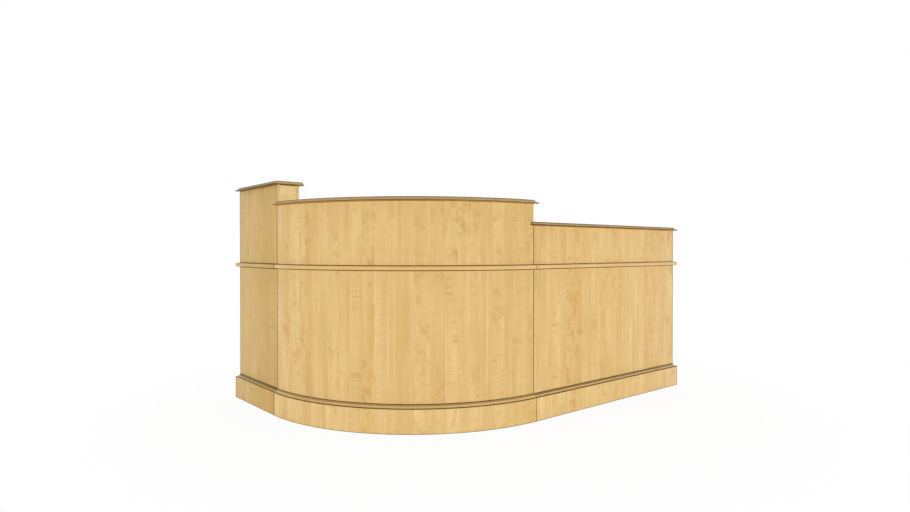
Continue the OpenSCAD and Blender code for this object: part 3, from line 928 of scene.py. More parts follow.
class Jig:
    """A tree of geometry nodes that makes what repeats or follows a path."""

    name: str
    inputs: tuple[tuple[str, str], ...]

    def wire(self, wiring: Wiring, given: Any) -> Socket:
        """Wires the jig's own nodes and returns the shape that they make."""
        raise NotImplementedError

    def tree(self) -> bpy.types.NodeTree:
        """Builds the tree on first use, with its shape made real and given its finish.

        Returns:
            The tree.
        """
        made = bpy.data.node_groups.get(self.name)
        if made:
            return made
        tree = bpy.data.node_groups.new(self.name, "GeometryNodeTree")
        tree.interface.new_socket("Geometry", in_out="OUTPUT", socket_type="NodeSocketGeometry")
        for name, kind in self.inputs:
            tree.interface.new_socket(name, in_out="INPUT", socket_type="NodeSocket" + kind)
        wiring = Wiring(tree)
        given = wiring.add("NodeGroupInput").outputs
        real = wiring.add("GeometryNodeRealizeInstances", {0: self.wire(wiring, given)})
        faced = {"Geometry": real.outputs[0], "Material": given["Finish"]}
        wiring.add("NodeGroupOutput", {0: wiring.add("GeometryNodeSetMaterial", faced).outputs[0]})
        return tree

    def put_on(self, host: Object, values: dict[str, Any]) -> None:
        """Puts the tree on an object and sets its inputs by their identifiers.

        Args:
            host: The object that carries the tree.
            values: Its inputs by name.
        """
        tree = self.tree()
        modifier = host.modifiers.new(self.name, "NODES")
        modifier.node_group = tree
        for item in tree.interface.items_tree:
            if item.item_type == "SOCKET" and item.in_out == "INPUT" and item.name in values:
                modifier[item.identifier] = values[item.name]


@dataclass(frozen=True)
class Sweep(Jig):
    """A jig that sweeps a section round the curved wall."""

    name: str = "moulding_sweep"
    inputs: tuple[tuple[str, str], ...] = (
        ("Profile", "Object"), ("Centre", "Vector"), ("Radius", "Float"), ("Start", "Float"),
        ("Turn", "Float"), ("Steps", "Int"), ("Upright grain", "Bool"), ("Finish", "Material"))

    def wire(self, wiring: Wiring, given: Any) -> Socket:
        """Wires the arc, the sweep and the grain coordinates.

        Args:
            wiring: The tree being wired.
            given: The sockets of its inputs.

        Returns:
            The swept shape.
        """
        bend = {"Resolution": given["Steps"], "Radius": given["Radius"], "Start Angle": given["Start"],
                "Sweep Angle": given["Turn"]}
        line = wiring.add("GeometryNodeCurveArc", bend).outputs["Curve"]
        level = wiring.add("GeometryNodeSetCurveNormal", {"Curve": line}, mode="Z_UP").outputs[0]
        way = wiring.add("GeometryNodeCaptureAttribute", {"Geometry": level})
        way.capture_items.new("FLOAT", "Way")
        wiring.feed(way.inputs[1], wiring.add("GeometryNodeSplineParameter").outputs["Length"])
        section = wiring.add("GeometryNodeObjectInfo", {"Object": given["Profile"]}).outputs["Geometry"]
        shape = wiring.add("GeometryNodeCaptureAttribute", {"Geometry": section})
        shape.capture_items.new("VECTOR", "Section")
        wiring.feed(shape.inputs[1], wiring.add("GeometryNodeInputPosition").outputs[0])
        path = {"Curve": way.outputs[0], "Profile Curve": shape.outputs[0], "Fill Caps": True}
        swept = wiring.add("GeometryNodeCurveToMesh", path).outputs[0]
        out, down, _ = wiring.add("ShaderNodeSeparateXYZ", {0: shape.outputs[1]}).outputs
        up = wiring.times(down, -1.0)
        run = wiring.add("ShaderNodeCombineXYZ", {0: up, 1: way.outputs[1], 2: out}).outputs[0]
        upright = wiring.add("ShaderNodeCombineXYZ", {0: way.outputs[1], 1: up, 2: out}).outputs[0]
        either = {0: given["Upright grain"], 1: run, 2: upright}
        chosen = wiring.add("GeometryNodeSwitch", either, input_type="VECTOR").outputs[0]
        named = wiring.add("GeometryNodeStoreNamedAttribute",
                           {"Geometry": swept, "Name": "grain_place", "Value": chosen},
                           data_type="FLOAT_VECTOR", domain="POINT").outputs[0]
        place = {"Geometry": named, "Translation": given["Centre"]}
        return wiring.add("GeometryNodeTransform", place).outputs[0]


@dataclass(frozen=True)
class ScrewRow(Jig):
    """A jig that sets screws along lines."""

    name: str = "screw_row"
    inputs: tuple[tuple[str, str], ...] = (
        ("Lines", "Geometry"), ("Screw", "Object"), ("Inset", "Float"), ("Per line", "Int"),
        ("Seed", "Int"), ("Finish", "Material"))

    def wire(self, wiring: Wiring, given: Any) -> Socket:
        """Wires the spacing, the direction and the turn of the screws.

        Args:
            wiring: The tree being wired.
            given: The sockets of its inputs.

        Returns:
            The screws, one instance each.
        """
        curve = wiring.add("GeometryNodeMeshToCurve", {"Mesh": given["Lines"]}).outputs[0]
        length = wiring.add("GeometryNodeSplineLength").outputs[0]
        short = wiring.add("GeometryNodeTrimCurve", {"Curve": curve}, mode="LENGTH")
        # The node lists its ends twice, and those of its length mode come last
        starts = [socket for socket in short.inputs if socket.name == "Start"]
        ends = [socket for socket in short.inputs if socket.name == "End"]
        wiring.feed(starts[-1], given["Inset"])
        wiring.feed(ends[-1], wiring.minus(length, given["Inset"]))
        spaced = {"Curve": short.outputs[0], "Count": given["Per line"]}
        points = wiring.add("GeometryNodeResampleCurve", spaced).outputs[0]
        facing = wiring.add("GeometryNodeInputNamedAttribute", {"Name": "facing"}, data_type="FLOAT_VECTOR")
        aimed = wiring.add("FunctionNodeAlignRotationToVector", {"Vector": facing.outputs[0]}, axis="Z")
        chance = {"Min": 0.0, "Max": math.pi, "Seed": given["Seed"]}
        turn = wiring.add("FunctionNodeRandomValue", chance, data_type="FLOAT")
        angle = [socket for socket in turn.outputs if socket.enabled][0]
        spun = wiring.add("FunctionNodeAxisAngleToRotation", {"Axis": (0.0, 0.0, 1.0), "Angle": angle})
        both = wiring.add("FunctionNodeRotateRotation", {0: aimed.outputs[0], 1: spun.outputs[0]},
                          rotation_space="LOCAL").outputs[0]
        head = wiring.add("GeometryNodeObjectInfo", {"Object": given["Screw"]}).outputs["Geometry"]
        placed = {"Points": points, "Instance": head, "Rotation": both}
        return wiring.add("GeometryNodeInstanceOnPoints", placed).outputs[0]


@dataclass
class WallModules:
    """Panels, frames and joining bolts of the three wall modules."""

    shop: Workshop
    line_half: float = 2.4 * MM
    left_line: float = 3.6 * MM
    joint_line: float = 3.0 * MM
    ogee_tuck: float = 0.8 * MM
    end_shift: float = 2.0 * MM
    left_seam: float = 3.8 * MM
    seam: float = 3.0 * MM
    joint_arris: float = 0.5 * MM
    frame_arris: float = 2.0 * MM

    def fronts(self) -> dict[str, Maple]:
        """Gives the front panels painted shadow lines along the mouldings and under the caps, dark seams at
        the joints, and the left module's painted shade.

        Returns:
            Their finishes.
        """
        plan = self.shop.plan
        belt_low, belt_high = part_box("right_belt_rail")
        rails = (belt_low.z, belt_high.z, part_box("right_skirting")[1].z + OGEE_TALL - self.ogee_tuck)
        bare = Maple("right_panel_maple", line_half=self.line_half, seam_half=self.seam, lines_along=rails)
        return {
            "left_front_panel": replace(
                bare, name="left_panel_maple", shade=LEFT_PAINTED_SHADE, line_half=self.left_line,
                seam_half=self.left_seam, lines_along=(*rails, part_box("left_cap")[0].z),
                seams_across=(plan.left_stop + self.end_shift, 0.0)),
            "curved_front_panel": replace(
                bare, name="curved_panel_maple", lines_along=(*rails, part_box("curved_cap")[0].z),
                seams_across=(0.0, plan.quarter)),
            "right_front_panel": replace(bare, seams_across=(plan.quarter, plan.right_stop - self.end_shift)),
        }

    def build(self) -> None:
        """Makes the panels, the frames inside them and the bolts."""
        shop = self.shop
        for node, finish in self.fronts().items():
            shop.board(Grain.UPRIGHT, Dress(finish), node)
        shop.board(Grain.UPRIGHT, INNER_DRESS, "left_liner_panel", "curved_liner_panel", "right_liner_panel")
        # The tower's end gets a painted shadow line under the left cap
        under_cap = replace(JOINT_MAPLE, name="left_joint_veneer", lines_along=(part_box("left_cap")[0].z,),
                            line_half=self.joint_line)
        shop.board(Grain.Z, Dress(under_cap), "left_joint_panel", round_over=self.joint_arris)
        shop.board(Grain.Z, JOINT_DRESS, "curved_joint_panels", "right_joint_panel",
                   round_over=self.joint_arris)
        shop.board(Grain.Z, INNER_DRESS, "left_end_panel", "right_end_panel", round_over=self.joint_arris)
        shop.plain(SOFTWOOD, "sole_plates", "top_plates", grain=Grain.RUN, round_over=self.frame_arris)
        shop.plain(SOFTWOOD, "wall_studs", grain=Grain.UPRIGHT, round_over=self.frame_arris)
        shop.plain(ZINC, "connector_bolts", "connector_nuts")


@dataclass
class Caps:
    """Three caps, coved on the customer side."""

    shop: Workshop
    # Painted shade: the coves darker than bare maple, the left cap's customer side darker still, its
    # underside darkest
    shade: Triple = (0.55, 0.54, 0.5)
    left_painted_shade: Triple = (0.46, 0.45, 0.42)
    top_shade: Triple = (0.96, 0.96, 0.96)
    under_painted_shade: Triple = (0.34, 0.32, 0.28)
    gloss: float = 0.55
    # Dark lines along each cove's lip and top edge, partly painted shadow under the lip
    lines: dict[str, Pair] = field(default_factory=lambda: {
        "left_cap": (0.0, 3.0 * MM), "curved_cap": (0.0, 3.4 * MM), "right_cap": (1.8 * MM, 4.4 * MM)})
    front_line: Pair = (2.0 * MM, 4.6 * MM)
    arris: float = 0.5 * MM
    skin: float = 0.1 * MM

    def coved(self, name: str, shade: Triple, line: Pair) -> Maple:
        """Returns the finish of a cove, darkened as painted shade, with dark lines along its two edges.

        Args:
            name: The finish's name.
            shade: How much painted shade darkens the cove against bare maple.
            line: The lower line's height, and half of the lines' width.

        Returns:
            The finish.
        """
        low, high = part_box("left_cap")
        lift, half = line
        return Maple(name, Slot.SOLID, shade, lines_across=(lift, high.z - low.z), line_half=half,
                     gloss=self.gloss)

    def square_horn(self, shape: bmesh.types.BMesh) -> None:
        """Ends the right cap square where it runs past its seam, one overhang out.

        Args:
            shape: The cap's shape, with a coved end.
        """
        plan = self.shop.plan
        overhang = plan.right_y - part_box("right_cap")[0].y
        for vert in shape.verts:
            if vert.co.x < plan.seam_x - self.skin:
                vert.co.x = plan.seam_x - overhang

    def build(self) -> None:
        """Makes the caps: coves, flat faces, and painted shade on the coves and on the left cap's customer
        side and underside.
        """
        flat = Maple("cap_top_maple", Slot.SOLID, self.top_shade)
        under = Maple("left_cap_underside_maple", Slot.SOLID, self.under_painted_shade)
        front = self.coved("left_cap_front_maple", self.left_painted_shade, self.front_line)
        for node, line in self.lines.items():
            piece = self.shop.cut(node, self.arris, self.square_horn if node == "right_cap" else None)
            self.shop.lay_grain(piece, Grain.RUN)
            finishes = [self.coved(node + "_maple", self.shade, line), flat]
            low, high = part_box(node)
            across, _, heights = numbers(piece.data.polygons, "center").T
            chosen = np.zeros(len(heights))
            # Painted shade on the left cap's customer side and on its underside
            if node == "left_cap":
                finishes += [front, under]
                chosen[across < self.shop.plan.left_x] = finishes.index(front)
            chosen[heights > high.z - self.skin] = finishes.index(flat)
            chosen[heights < low.z + self.skin] = len(finishes) - 1
            self.shop.lay_finishes(piece, finishes, chosen)
            self.shop.hand_in(piece, Body.COUNTER, flat.slot, node)


@dataclass
class Mouldings:
    """Belt rail, skirting and base moulding round the customer side."""

    shop: Workshop
    skirting_shade: Triple = (1.03, 1.05, 1.08)
    # Tones of the painted shade in the base moulding's cove, on the left wall and on the right one
    left_dust: Colour = tone(104, 84, 50)
    right_dust: Colour = tone(120, 98, 60)
    ogee_foot: float = 4.0 * MM
    ogee_ledge: float = 0.5 * MM
    solid_foot: float = 5.0 * MM
    solid_ledge: float = 2.0 * MM
    seat: float = 0.3 * MM
    worn: float = 0.3 * MM
    belt_line: float = 2.2 * MM
    belt_lines_past: float = 1.0 * MM
    foot_line: float = 1.0 * MM
    ogee_line: float = 2.1 * MM
    straight_ogee_line: float = 2.7 * MM
    shaded_from: float = 8.3 * MM
    straight_shaded_from: float = 7.2 * MM
    floor_line: float = 2.5 * MM
    corner_shift: float = 2.0 * MM
    left_seam: float = 5.5 * MM
    seam_half: float = 1.8 * MM
    steps: int = 97
    nose_steps: int = 25
    foot_steps: int = 11
    cove_steps: int = 13

    @property
    def skirting_deep(self) -> float:
        """Thickness of the skirting, and of the base moulding on it."""
        return self.shop.plan.right_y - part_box("right_skirting")[0].y

    def belt_profile(self) -> list[Pair]:
        """Draws the half-round belt.

        Returns:
            Its section, out of the wall and up from its underside.
        """
        low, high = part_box("curved_belt_rail")
        tall = high.z - low.z
        half = tall / 2
        flat = self.shop.plan.right_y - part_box("right_belt_rail")[0].y - half
        nose = arc((flat, half), half, -math.pi / 2, math.pi / 2, self.nose_steps)
        return [(self.seat, 0.0), *nose, (self.seat, tall)]

    def skirting_profile(self) -> list[Pair]:
        """Draws the skirting with its arrises taken off.

        Returns:
            Its section, out of the wall and up from the floor.
        """
        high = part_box("curved_skirting")[1].z
        deep, worn = self.skirting_deep, self.worn
        return [(self.seat, 0.0), (deep - worn, 0.0), (deep, worn), (deep, high - worn), (deep - worn, high),
                (self.seat, high)]

    def ogee_profile(self) -> list[Pair]:
        """Draws the base moulding: a round foot, a ledge and a cove.

        Returns:
            Its section, out of the wall and up from the skirting.
        """
        deep, foot = self.skirting_deep, self.ogee_foot
        ledge = deep - foot - self.ogee_ledge
        rounded = arc((deep - foot, 0.0), foot, 0.0, math.pi / 2, self.foot_steps)
        hollow = arc((ledge, OGEE_TALL), OGEE_TALL - foot, -math.pi / 2, -math.pi, self.cove_steps)
        return [(self.seat, 0.0), *rounded, *hollow, (self.seat, OGEE_TALL)]

    def raise_ogee(self, piece: Object) -> None:
        """Draws a straight base moulding out to the swept one's section, mitres and all.

        Args:
            piece: The moulding as its solid has it.
        """
        plan = self.shop.plan
        low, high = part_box("right_base_moulding")
        tall = high.z - low.z
        deep = plan.right_y - low.y

        def outs(foot: float, ledge: float, top: float) -> Triple:
            """Returns how far out the cove's two ends and the ledge's brim stand."""
            brim = deep - foot
            return brim - ledge - top + foot, brim - ledge, brim

        solid = (0.0, *outs(self.solid_foot, self.solid_ledge, tall), deep)
        drawn = (0.0, *outs(self.ogee_foot, self.ogee_ledge, OGEE_TALL), deep)
        places = numbers(piece.data.vertices, "co")
        for axis, start, stop in ((0, plan.left_x, plan.right_end), (1, plan.right_y, plan.left_end)):
            old = places[:, axis].copy()
            far = np.interp(np.maximum(start - old, old - stop), solid, drawn)
            places[:, axis] = np.select([old < start, old > stop], [start - far, stop + far], old)
        rise = np.interp(places[:, 2] - low.z, (0.0, self.solid_foot, tall), (0.0, self.ogee_foot, OGEE_TALL))
        places[:, 2] = low.z + rise
        piece.data.vertices.foreach_set("co", places.ravel())
        piece.data.update()

    def sweep(self, node: str, profile: list[Pair], finish: Finish, upright: bool) -> None:
        """Sweeps one moulding round the curved wall.

        Args:
            node: The solid that it stands for.
            profile: Its section, out of the wall and up.
            finish: Its finish.
            upright: Whether the grain stands upright.
        """
        plan = self.shop.plan
        line = bpy.data.curves.new(node + "_section", "CURVE")
        spline = line.splines.new("POLY")
        spline.points.add(len(profile) - 1)
        for point, (out, up) in zip(spline.points, reversed(profile)):
            point.co = (out, -up, 0.0, 1.0)
        spline.use_cyclic_u = True
        section = linked(node + "_section", line)
        host = linked(node + "_rough", bpy.data.meshes.new(node + "_rough"))
        Sweep().put_on(host, {
            "Profile": section, "Centre": (plan.seam_x, plan.seam_y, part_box(node)[0].z),
            "Radius": plan.corner_r, "Start": math.pi, "Turn": math.pi / 2, "Steps": self.steps,
            "Upright grain": upright, "Finish": finish.material()})
        piece = self.shop.applied(host, node)
        bpy.data.objects.remove(section)
        self.shop.hand_in(piece, Body.COUNTER, finish.slot, node)

    def build(self) -> None:
        """Makes the three mouldings on all three walls."""
        plan = self.shop.plan
        seams = (0.0, plan.quarter)
        corner = self.skirting_deep - self.corner_shift
        corners = (plan.left_stop - corner, plan.right_stop + corner)
        belt_low, belt_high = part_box("right_belt_rail")
        belt_tall = belt_high.z - belt_low.z
        belt_flat = plan.right_y - belt_low.y - belt_tall / 2
        # Dark lines on the belt's nose, at the skirting's foot and along the base moulding are painted shadow
        # lines; the seams are dark joints
        bare = Maple("bare_maple", Slot.SOLID, seam_half=self.seam_half)
        belt = replace(bare, name="belt_maple", lines_across=(0.0, belt_tall), line_half=self.belt_line,
                       lines_from=belt_flat + self.belt_lines_past, seams_along=seams)
        skirting = replace(bare, name="skirting_maple", shade=self.skirting_shade, line_half=self.floor_line,
                           lines_along=(0.0,), seams_along=(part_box("right_skirting")[1].z,),
                           seams_across=(*seams, *corners))
        # The base moulding's cove gets a band of painted shade
        ogee = replace(bare, name="ogee_maple", lines_across=(self.foot_line, OGEE_TALL),
                       line_half=self.ogee_line, painted_shade_band=(self.shaded_from, OGEE_TALL))
        shaded = {"painted_shade_band": (self.straight_shaded_from, OGEE_TALL), "line_half": self.straight_ogee_line}
        # Each row ends with what differs on the left wall and on the right one
        kinds = (
            ("belt_rail", Grain.RUN, self.belt_profile(), belt, {}, {}),
            ("skirting", Grain.UPRIGHT_RETURN, self.skirting_profile(), skirting, {"seams_along": ()}, {}),
            ("base_moulding", Grain.RUN, self.ogee_profile(), ogee,
             {**shaded, "painted_shade_tone": self.left_dust}, {**shaded, "painted_shade_tone": self.right_dust}),
        )
        for kind, grain, profile, finish, left, right in kinds:
            # The left wall's copies take the left module's painted shade
            dark = replace(finish, name="left_" + finish.name, shade=LEFT_PAINTED_SHADE,
                           seam_half=self.left_seam, **left)
            light = replace(finish, name="right_" + finish.name, **right)
            way = {"grain": grain, "round_over": self.worn,
                   "redraw": self.raise_ogee if finish is ogee else None}
            self.shop.plain(dark, "left_" + kind, **way)
            self.sweep("curved_" + kind, profile, finish, grain is Grain.UPRIGHT_RETURN)
            self.shop.plain(light, "right_" + kind, **way)


@dataclass
class Screws:
    """Cross-head screws set in rows."""

    shop: Workshop
    head_r: float = 4.2 * MM
    sides: int = 20
    sunk: float = 0.8 * MM
    proud: float = 0.7 * MM
    dome: tuple[Pair, ...] = ((1.0, 0.0), (0.93, 0.55), (0.78, 1.0))
    cross: float = 2.4 * MM
    groove: float = 0.55 * MM
    deep: float = 1.1 * MM
    taper: float = 0.7
    seed: int = 7

    def head(self) -> Object:
        """Makes one domed head with a cross recess, looking up Z.

        Returns:
            The head.
        """
        shape = bmesh.new()
        rings = []
        for share, rise in ((1.0, -self.sunk), *((wide, high * self.proud) for wide, high in self.dome)):
            circle = arc((0.0, 0.0), self.head_r * share, 0.0, 2 * math.pi, self.sides + 1)[:-1]
            rings.append([shape.verts.new((x, y, rise)) for x, y in circle])
        for lower, upper in zip(rings, rings[1:]):
            self.wall(shape, lower, upper)
        shape.faces.new(reversed(rings[0]))
        arm, half = self.cross, self.groove
        corners = [(arm, -half), (arm, half), (half, half), (half, arm), (-half, arm), (-half, half),
                   (-arm, half), (-arm, -half), (-half, -half), (-half, -arm), (half, -arm), (half, -half)]
        brim = [shape.verts.new((x, y, self.proud)) for x, y in corners]
        bottom = self.proud - self.deep
        floor = [shape.verts.new((x * self.taper, y * self.taper, bottom)) for x, y in corners]
        edges = []
        for loop in (rings[-1], brim):
            for first, second in zip(loop, loop[1:] + loop[:1]):
                edges.append(shape.edges.get((first, second)) or shape.edges.new((first, second)))
        bmesh.ops.triangle_fill(shape, use_beauty=True, edges=edges, normal=(0.0, 0.0, 1.0))
        for face in [face for face in shape.faces if all(vert in brim for vert in face.verts)]:
            shape.faces.remove(face)
        self.wall(shape, brim, floor)
        shape.faces.new(floor)
        bmesh.ops.recalc_face_normals(shape, faces=shape.faces)
        mesh = bpy.data.meshes.new("screw_head")
        shape.to_mesh(mesh)
        shape.free()
        return linked("screw_head", mesh)

    def wall(self, shape: bmesh.types.BMesh, first: list[Any], second: list[Any]) -> None:
        """Closes the wall between two loops of points, a face for each step.

        Args:
            shape: The shape that gets the faces.
            first: One loop.
            second: The other loop.
        """
        for step in range(len(first)):
            after = (step + 1) % len(first)
            shape.faces.new((first[step], first[after], second[after], second[step]))

    def set_row(self, name: str, lines: list[list[tuple[Vector, Vector]]], per_line: int,
                inset: float) -> None:
        """Sets screws along lines of the fixed counter.

        Args:
            name: The row's name.
            lines: Each line's places and the directions that the heads look in.
            per_line: Screws on each line.
            inset: Distance of the first and last screw from the line's ends.
        """
        places = [place for line in lines for place, _ in line]
        looks = [look for line in lines for _, look in line]
        edges = []
        first = 0
        for line in lines:
            edges.extend((first + step, first + step + 1) for step in range(len(line) - 1))
            first += len(line)
        mesh = bpy.data.meshes.new(name + "_lines")
        mesh.from_pydata(places, edges, [])
        facing = mesh.attributes.new("facing", "FLOAT_VECTOR", "POINT")
        facing.data.foreach_set("vector", np.array(looks, dtype=np.float32).ravel())
        host = linked(name + "_rough", mesh)
        head = self.head()
        ScrewRow().put_on(host, {"Screw": head, "Inset": inset, "Per line": per_line, "Seed": self.seed,
                                 "Finish": ZINC.material()})
        piece = self.shop.applied(host, name)
        bpy.data.objects.remove(head)
        self.shop.hand_in(piece, Body.COUNTER, ZINC.slot)


@dataclass
class Worktop:
    """Worktop in two pieces, its supports and the cable grommet."""

    shop: Workshop
    finish: Maple = Maple("worktop_maple", Slot.WORKTOP, strip=0.11, contrast=1.05, gloss=0.32)
    arris: float = 0.6 * MM
    cleat_arris: float = 1.5 * MM
    grommet_arris: float = 0.8 * MM
    cleat_t: float = 20.0 * MM
    cleat_steps: int = 25
    screws_per_line: int = 3
    screw_inset: float = 60.0 * MM

    def cleat_lines(self) -> list[list[tuple[Vector, Vector]]]:
        """Follows the cleats between the brackets.

        Returns:
            The lines of their screws, as places and the directions that the heads look in.
        """
        plan = self.shop.plan
        low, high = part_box("worktop_cleats")
        level = (low.z + high.z) / 2
        face_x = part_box("left_liner_panel")[1].x + self.cleat_t
        face_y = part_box("right_liner_panel")[1].y + self.cleat_t
        reach = plan.seam_x - face_x
        lines = [
            [(Vector((face_x, y, level)), Vector((1, 0, 0))) for y in (high.y, plan.seam_y)],
            [(Vector((x, face_y, level)), Vector((0, 1, 0))) for x in (plan.seam_x, high.x)],
        ]
        for start in (0.0, math.pi / 4):
            ways = arc((0.0, 0.0), 1.0, start, start + math.pi / 4, self.cleat_steps)
            centre = Vector((plan.seam_x, plan.seam_y, level))
            lines.append([(centre - Vector((*way, 0.0)) * reach, Vector((*way, 0.0))) for way in ways])
        return lines

    def build(self) -> None:
        """Makes the worktop, its supports, their screws and the grommet."""
        shop = self.shop
        shop.plain(self.finish, "corner_worktop", grain=Grain.Y, round_over=self.arris)
        shop.plain(self.finish, "right_worktop", grain=Grain.X, round_over=self.arris)
        shop.plain(SOFTWOOD, "worktop_cleats", grain=Grain.RUN, round_over=self.cleat_arris)
        shop.board(Grain.RIB, BIRCH_DRESS, "worktop_brackets")
        shop.board(Grain.Z, INNER_DRESS, "left_support_panel")
        shop.plain(BLACK, "cable_grommet", round_over=self.grommet_arris)
        Screws(shop).set_row("cleat_screws", self.cleat_lines(), self.screws_per_line, self.screw_inset)


@dataclass
class TillUnit:
    """Fixed boards of the till unit and the shelf."""

    shop: Workshop
    arris: float = 0.8 * MM
    back_arris: float = 0.5 * MM
    pin_arris: float = 0.4 * MM

    def build(self) -> None:
        """Makes the case, its rails, the shelf and its pins."""
        shop = self.shop
        shop.board(Grain.Z, INNER_DRESS, "unit_knee_side", "unit_end_side", round_over=self.arris)
        shop.board(Grain.X, INNER_DRESS, "unit_plinth", "unit_top_rail", "unit_mid_rail",
                   round_over=self.arris)
        shop.board(Grain.Z, BIRCH_DRESS, "unit_back", round_over=self.back_arris)
        shop.board(Grain.X, BIRCH_DRESS, "unit_bottom", "cupboard_shelf", round_over=self.arris)
        shop.plain(ZINC, "shelf_pins", round_over=self.pin_arris)


@dataclass
class CupboardDoor:
    """Inset door with its knob and butt hinges."""

    shop: Workshop
    knob_arris: float = 0.5 * MM
    leaf_arris: float = 0.15 * MM
    pin_arris: float = 0.5 * MM

    def build(self) -> None:
        """Makes the door, its knob and its hinges."""
        shop = self.shop
        shop.board(Grain.Z, INNER_DRESS, "cupboard_door", body=Body.DOOR)
        shop.plain(NICKEL, "door_knob", body=Body.DOOR, round_over=self.knob_arris)
        shop.plain(NICKEL, "hinge_moving_leaves", body=Body.DOOR, round_over=self.leaf_arris)
        shop.plain(NICKEL, "hinge_fixed_leaves", round_over=self.leaf_arris)
        shop.plain(NICKEL, "hinge_pins", round_over=self.pin_arris)


@dataclass
class TillDrawer:
    """Drawer box, its front, knob and runners."""

    shop: Workshop
    bottom_arris: float = 0.4 * MM
    knob_arris: float = 0.5 * MM
    runner_arris: float = 0.4 * MM

    def build(self) -> None:
        """Makes the drawer and the three members of its runners."""
        shop = self.shop
        shop.board(Grain.X, INNER_DRESS, "drawer_front", body=Body.DRAWER)
        shop.board(Grain.Y, BIRCH_DRESS, "drawer_sides", body=Body.DRAWER)
        shop.board(Grain.X, BIRCH_DRESS, "drawer_ends", body=Body.DRAWER)
        shop.board(Grain.X, BIRCH_DRESS, "drawer_bottom", body=Body.DRAWER, round_over=self.bottom_arris)
        shop.plain(NICKEL, "drawer_knob", body=Body.DRAWER, round_over=self.knob_arris)
        members = {"runner_outer_members": Body.COUNTER, "runner_middle_members": Body.MIDDLES,
                   "runner_inner_members": Body.DRAWER}
        for node, body in members.items():
            shop.plain(ZINC, node, body=body, round_over=self.runner_arris)


@dataclass
class DrawerLock:
    """Cam lock of the drawer."""

    shop: Workshop
    sleeve_arris: float = 0.5 * MM
    plug_arris: float = 0.2 * MM
    cam_arris: float = 0.3 * MM

    def build(self) -> None:
        """Makes the sleeve, the plug and the cam."""
        shop = self.shop
        shop.plain(NICKEL, "lock_housing", body=Body.DRAWER, round_over=self.sleeve_arris)
        shop.plain(NICKEL, "lock_plug", body=Body.LOCK, round_over=self.plug_arris)
        shop.plain(ZINC, "lock_cam", body=Body.LOCK, round_over=self.cam_arris)


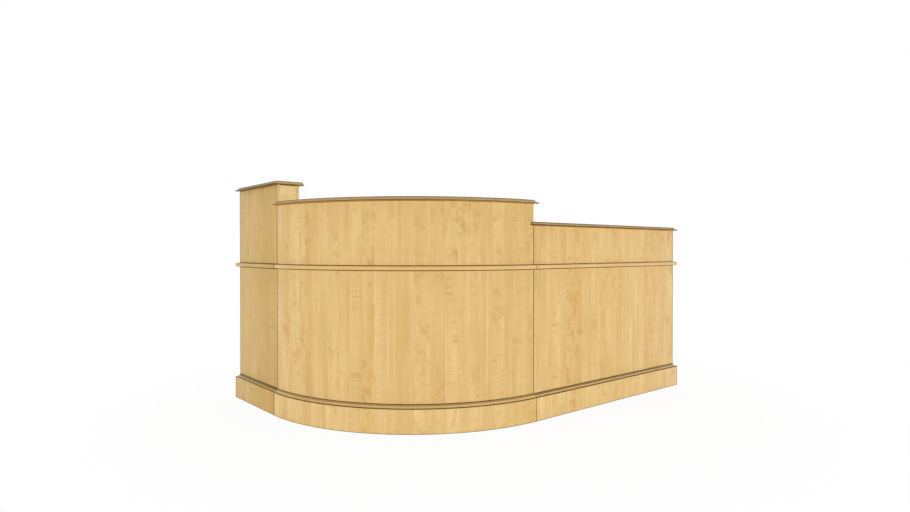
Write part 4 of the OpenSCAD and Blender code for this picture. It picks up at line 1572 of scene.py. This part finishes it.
@dataclass
class Studio:
    """Camera, floor, world and lamps."""

    eye: Triple = (-2.39198, -2.73942, 0.82499)
    yaw: float = math.radians(40.114)
    pitch: float = math.radians(0.541)
    view_angle: float = math.radians(44.88)
    sky: float = 0.32
    floor_r: float = 40.0
    floor_sides: int = 96
    floor_drop: float = 0.5 * MM
    floor_tones: tuple[Colour, Colour] = ((0.93, 0.93, 0.93, 1.0), (0.97, 0.97, 0.97, 1.0))
    floor_specks: Noise = Noise((30.0, 30.0, 30.0))
    floor_rough: float = 0.9
    shadow: float = 0.07
    shadow_band: Pair = (1.1, 2.4)
    aim: Triple = (0.0, 0.0, 0.5)
    reach: float = 12.0
    height: float = 1.6
    low_size: Pair = (8.0, 2.4)
    low_lamps: tuple[tuple[str, float, float], ...] = (
        ("left_lamp", math.radians(171.0), 580.0),
        ("right_lamp", math.radians(279.0), 640.0),
        ("staff_lamp", math.radians(48.0), 850.0),
    )
    overhead_place: Triple = (0.0, 0.0, 4.5)
    overhead_size: Pair = (4.0, 4.0)
    overhead_watts: float = 85.0

    def camera(self) -> None:
        """Sets the camera at the photograph's viewing angle."""
        lens = bpy.data.cameras.new("camera")
        lens.sensor_fit = "VERTICAL"
        lens.angle = self.view_angle
        camera = linked("camera", lens)
        camera.location = self.eye
        camera.rotation_euler = (math.pi / 2 - self.pitch, 0.0, -self.yaw)
        bpy.context.scene.camera = camera

    def seen_directly(self, wiring: Wiring) -> Socket:
        """Picks the rays that show the background: from the camera, in gloss and through glass.

        Args:
            wiring: The tree being wired.

        Returns:
            1 for those rays and 0 for the others.
        """
        path = wiring.add("ShaderNodeLightPath").outputs
        seen = wiring.most(path["Is Camera Ray"], path["Is Glossy Ray"])
        return wiring.most(seen, path["Is Transmission Ray"])

    def world(self) -> None:
        """Fills the studio evenly from a white world."""
        world = bpy.data.worlds.new("studio")
        world.use_nodes = True
        bpy.context.scene.world = world
        wiring = Wiring(world.node_tree)
        wiring.tree.nodes.clear()
        seen = self.seen_directly(wiring)
        strength = wiring.plus(wiring.times(wiring.minus(1.0, seen), self.sky), seen)
        back = wiring.add("ShaderNodeBackground", {"Color": WHITE, "Strength": strength})
        wiring.add("ShaderNodeOutputWorld", {"Surface": back.outputs[0]})

    def floor(self) -> None:
        """Lays a white floor that keeps a soft shadow near the counter."""
        mesh = bpy.data.meshes.new("floor")
        shape = bmesh.new()
        bmesh.ops.create_circle(shape, cap_ends=True, segments=self.floor_sides, radius=self.floor_r)
        shape.to_mesh(mesh)
        shape.free()
        floor = linked("floor", mesh)
        floor.location.z = -self.floor_drop
        shading = Shading("white_floor")
        spot = shading.spot()
        x, y, _ = shading.parts(spot)
        far = shading.math("SQRT", shading.plus(shading.math("POWER", x, 2.0), shading.math("POWER", y, 2.0)))
        colour = shading.mix(shading.noise(spot, self.floor_specks), *self.floor_tones)
        shading.set(Base_Color=colour, Roughness=self.floor_rough, Specular_IOR_Level=0.0)
        glow = shading.add("ShaderNodeEmission", {"Color": WHITE, "Strength": 1.0})
        keep = shading.span(far, *self.shadow_band, self.shadow, 0.0)
        white = shading.times(self.seen_directly(shading), shading.minus(1.0, keep))
        either = {0: white, 1: shading.shader.outputs[0], 2: glow.outputs[0]}
        mixed = shading.add("ShaderNodeMixShader", either).outputs[0]
        shading.feed(shading.tree.nodes["Material Output"].inputs["Surface"], mixed)
        mesh.materials.append(shading.material)

    def lamp(self, name: str, place: Triple, size: Pair, watts: float) -> None:
        """Hangs a soft lamp that looks at the counter and leaves no hot spot in the lacquer.

        Args:
            name: The lamp's name.
            place: Where it hangs.
            size: Its width and its height.
            watts: Its power.
        """
        light = bpy.data.lights.new(name, "AREA")
        light.energy = watts
        light.shape = "RECTANGLE"
        light.size, light.size_y = size
        lamp = linked(name, light)
        lamp.visible_camera = False
        lamp.visible_glossy = False
        lamp.location = place
        lamp.rotation_euler = (Vector(self.aim) - Vector(place)).to_track_quat("-Z", "Y").to_euler()

    def build(self) -> None:
        """Sets up the whole studio."""
        bpy.context.scene.view_settings.view_transform = "Standard"
        self.camera()
        self.world()
        self.floor()
        for name, way, watts in self.low_lamps:
            place = (self.reach * math.cos(way), self.reach * math.sin(way), self.height)
            self.lamp(name, place, self.low_size, watts)
        self.lamp("overhead_lamp", self.overhead_place, self.overhead_size, self.overhead_watts)


def main() -> None:
    """Builds the studio and every sub-assembly in order."""
    logging.basicConfig(level=logging.INFO, format="%(name)s %(message)s")
    Studio().build()
    shop = Workshop(Plan.read())
    for kind in (WallModules, Caps, Mouldings, Worktop, TillUnit, CupboardDoor, TillDrawer, DrawerLock):
        kind(shop).build()
    LOG.info("%d pieces", len(shop.made))


if __name__ == "__main__":
    main()
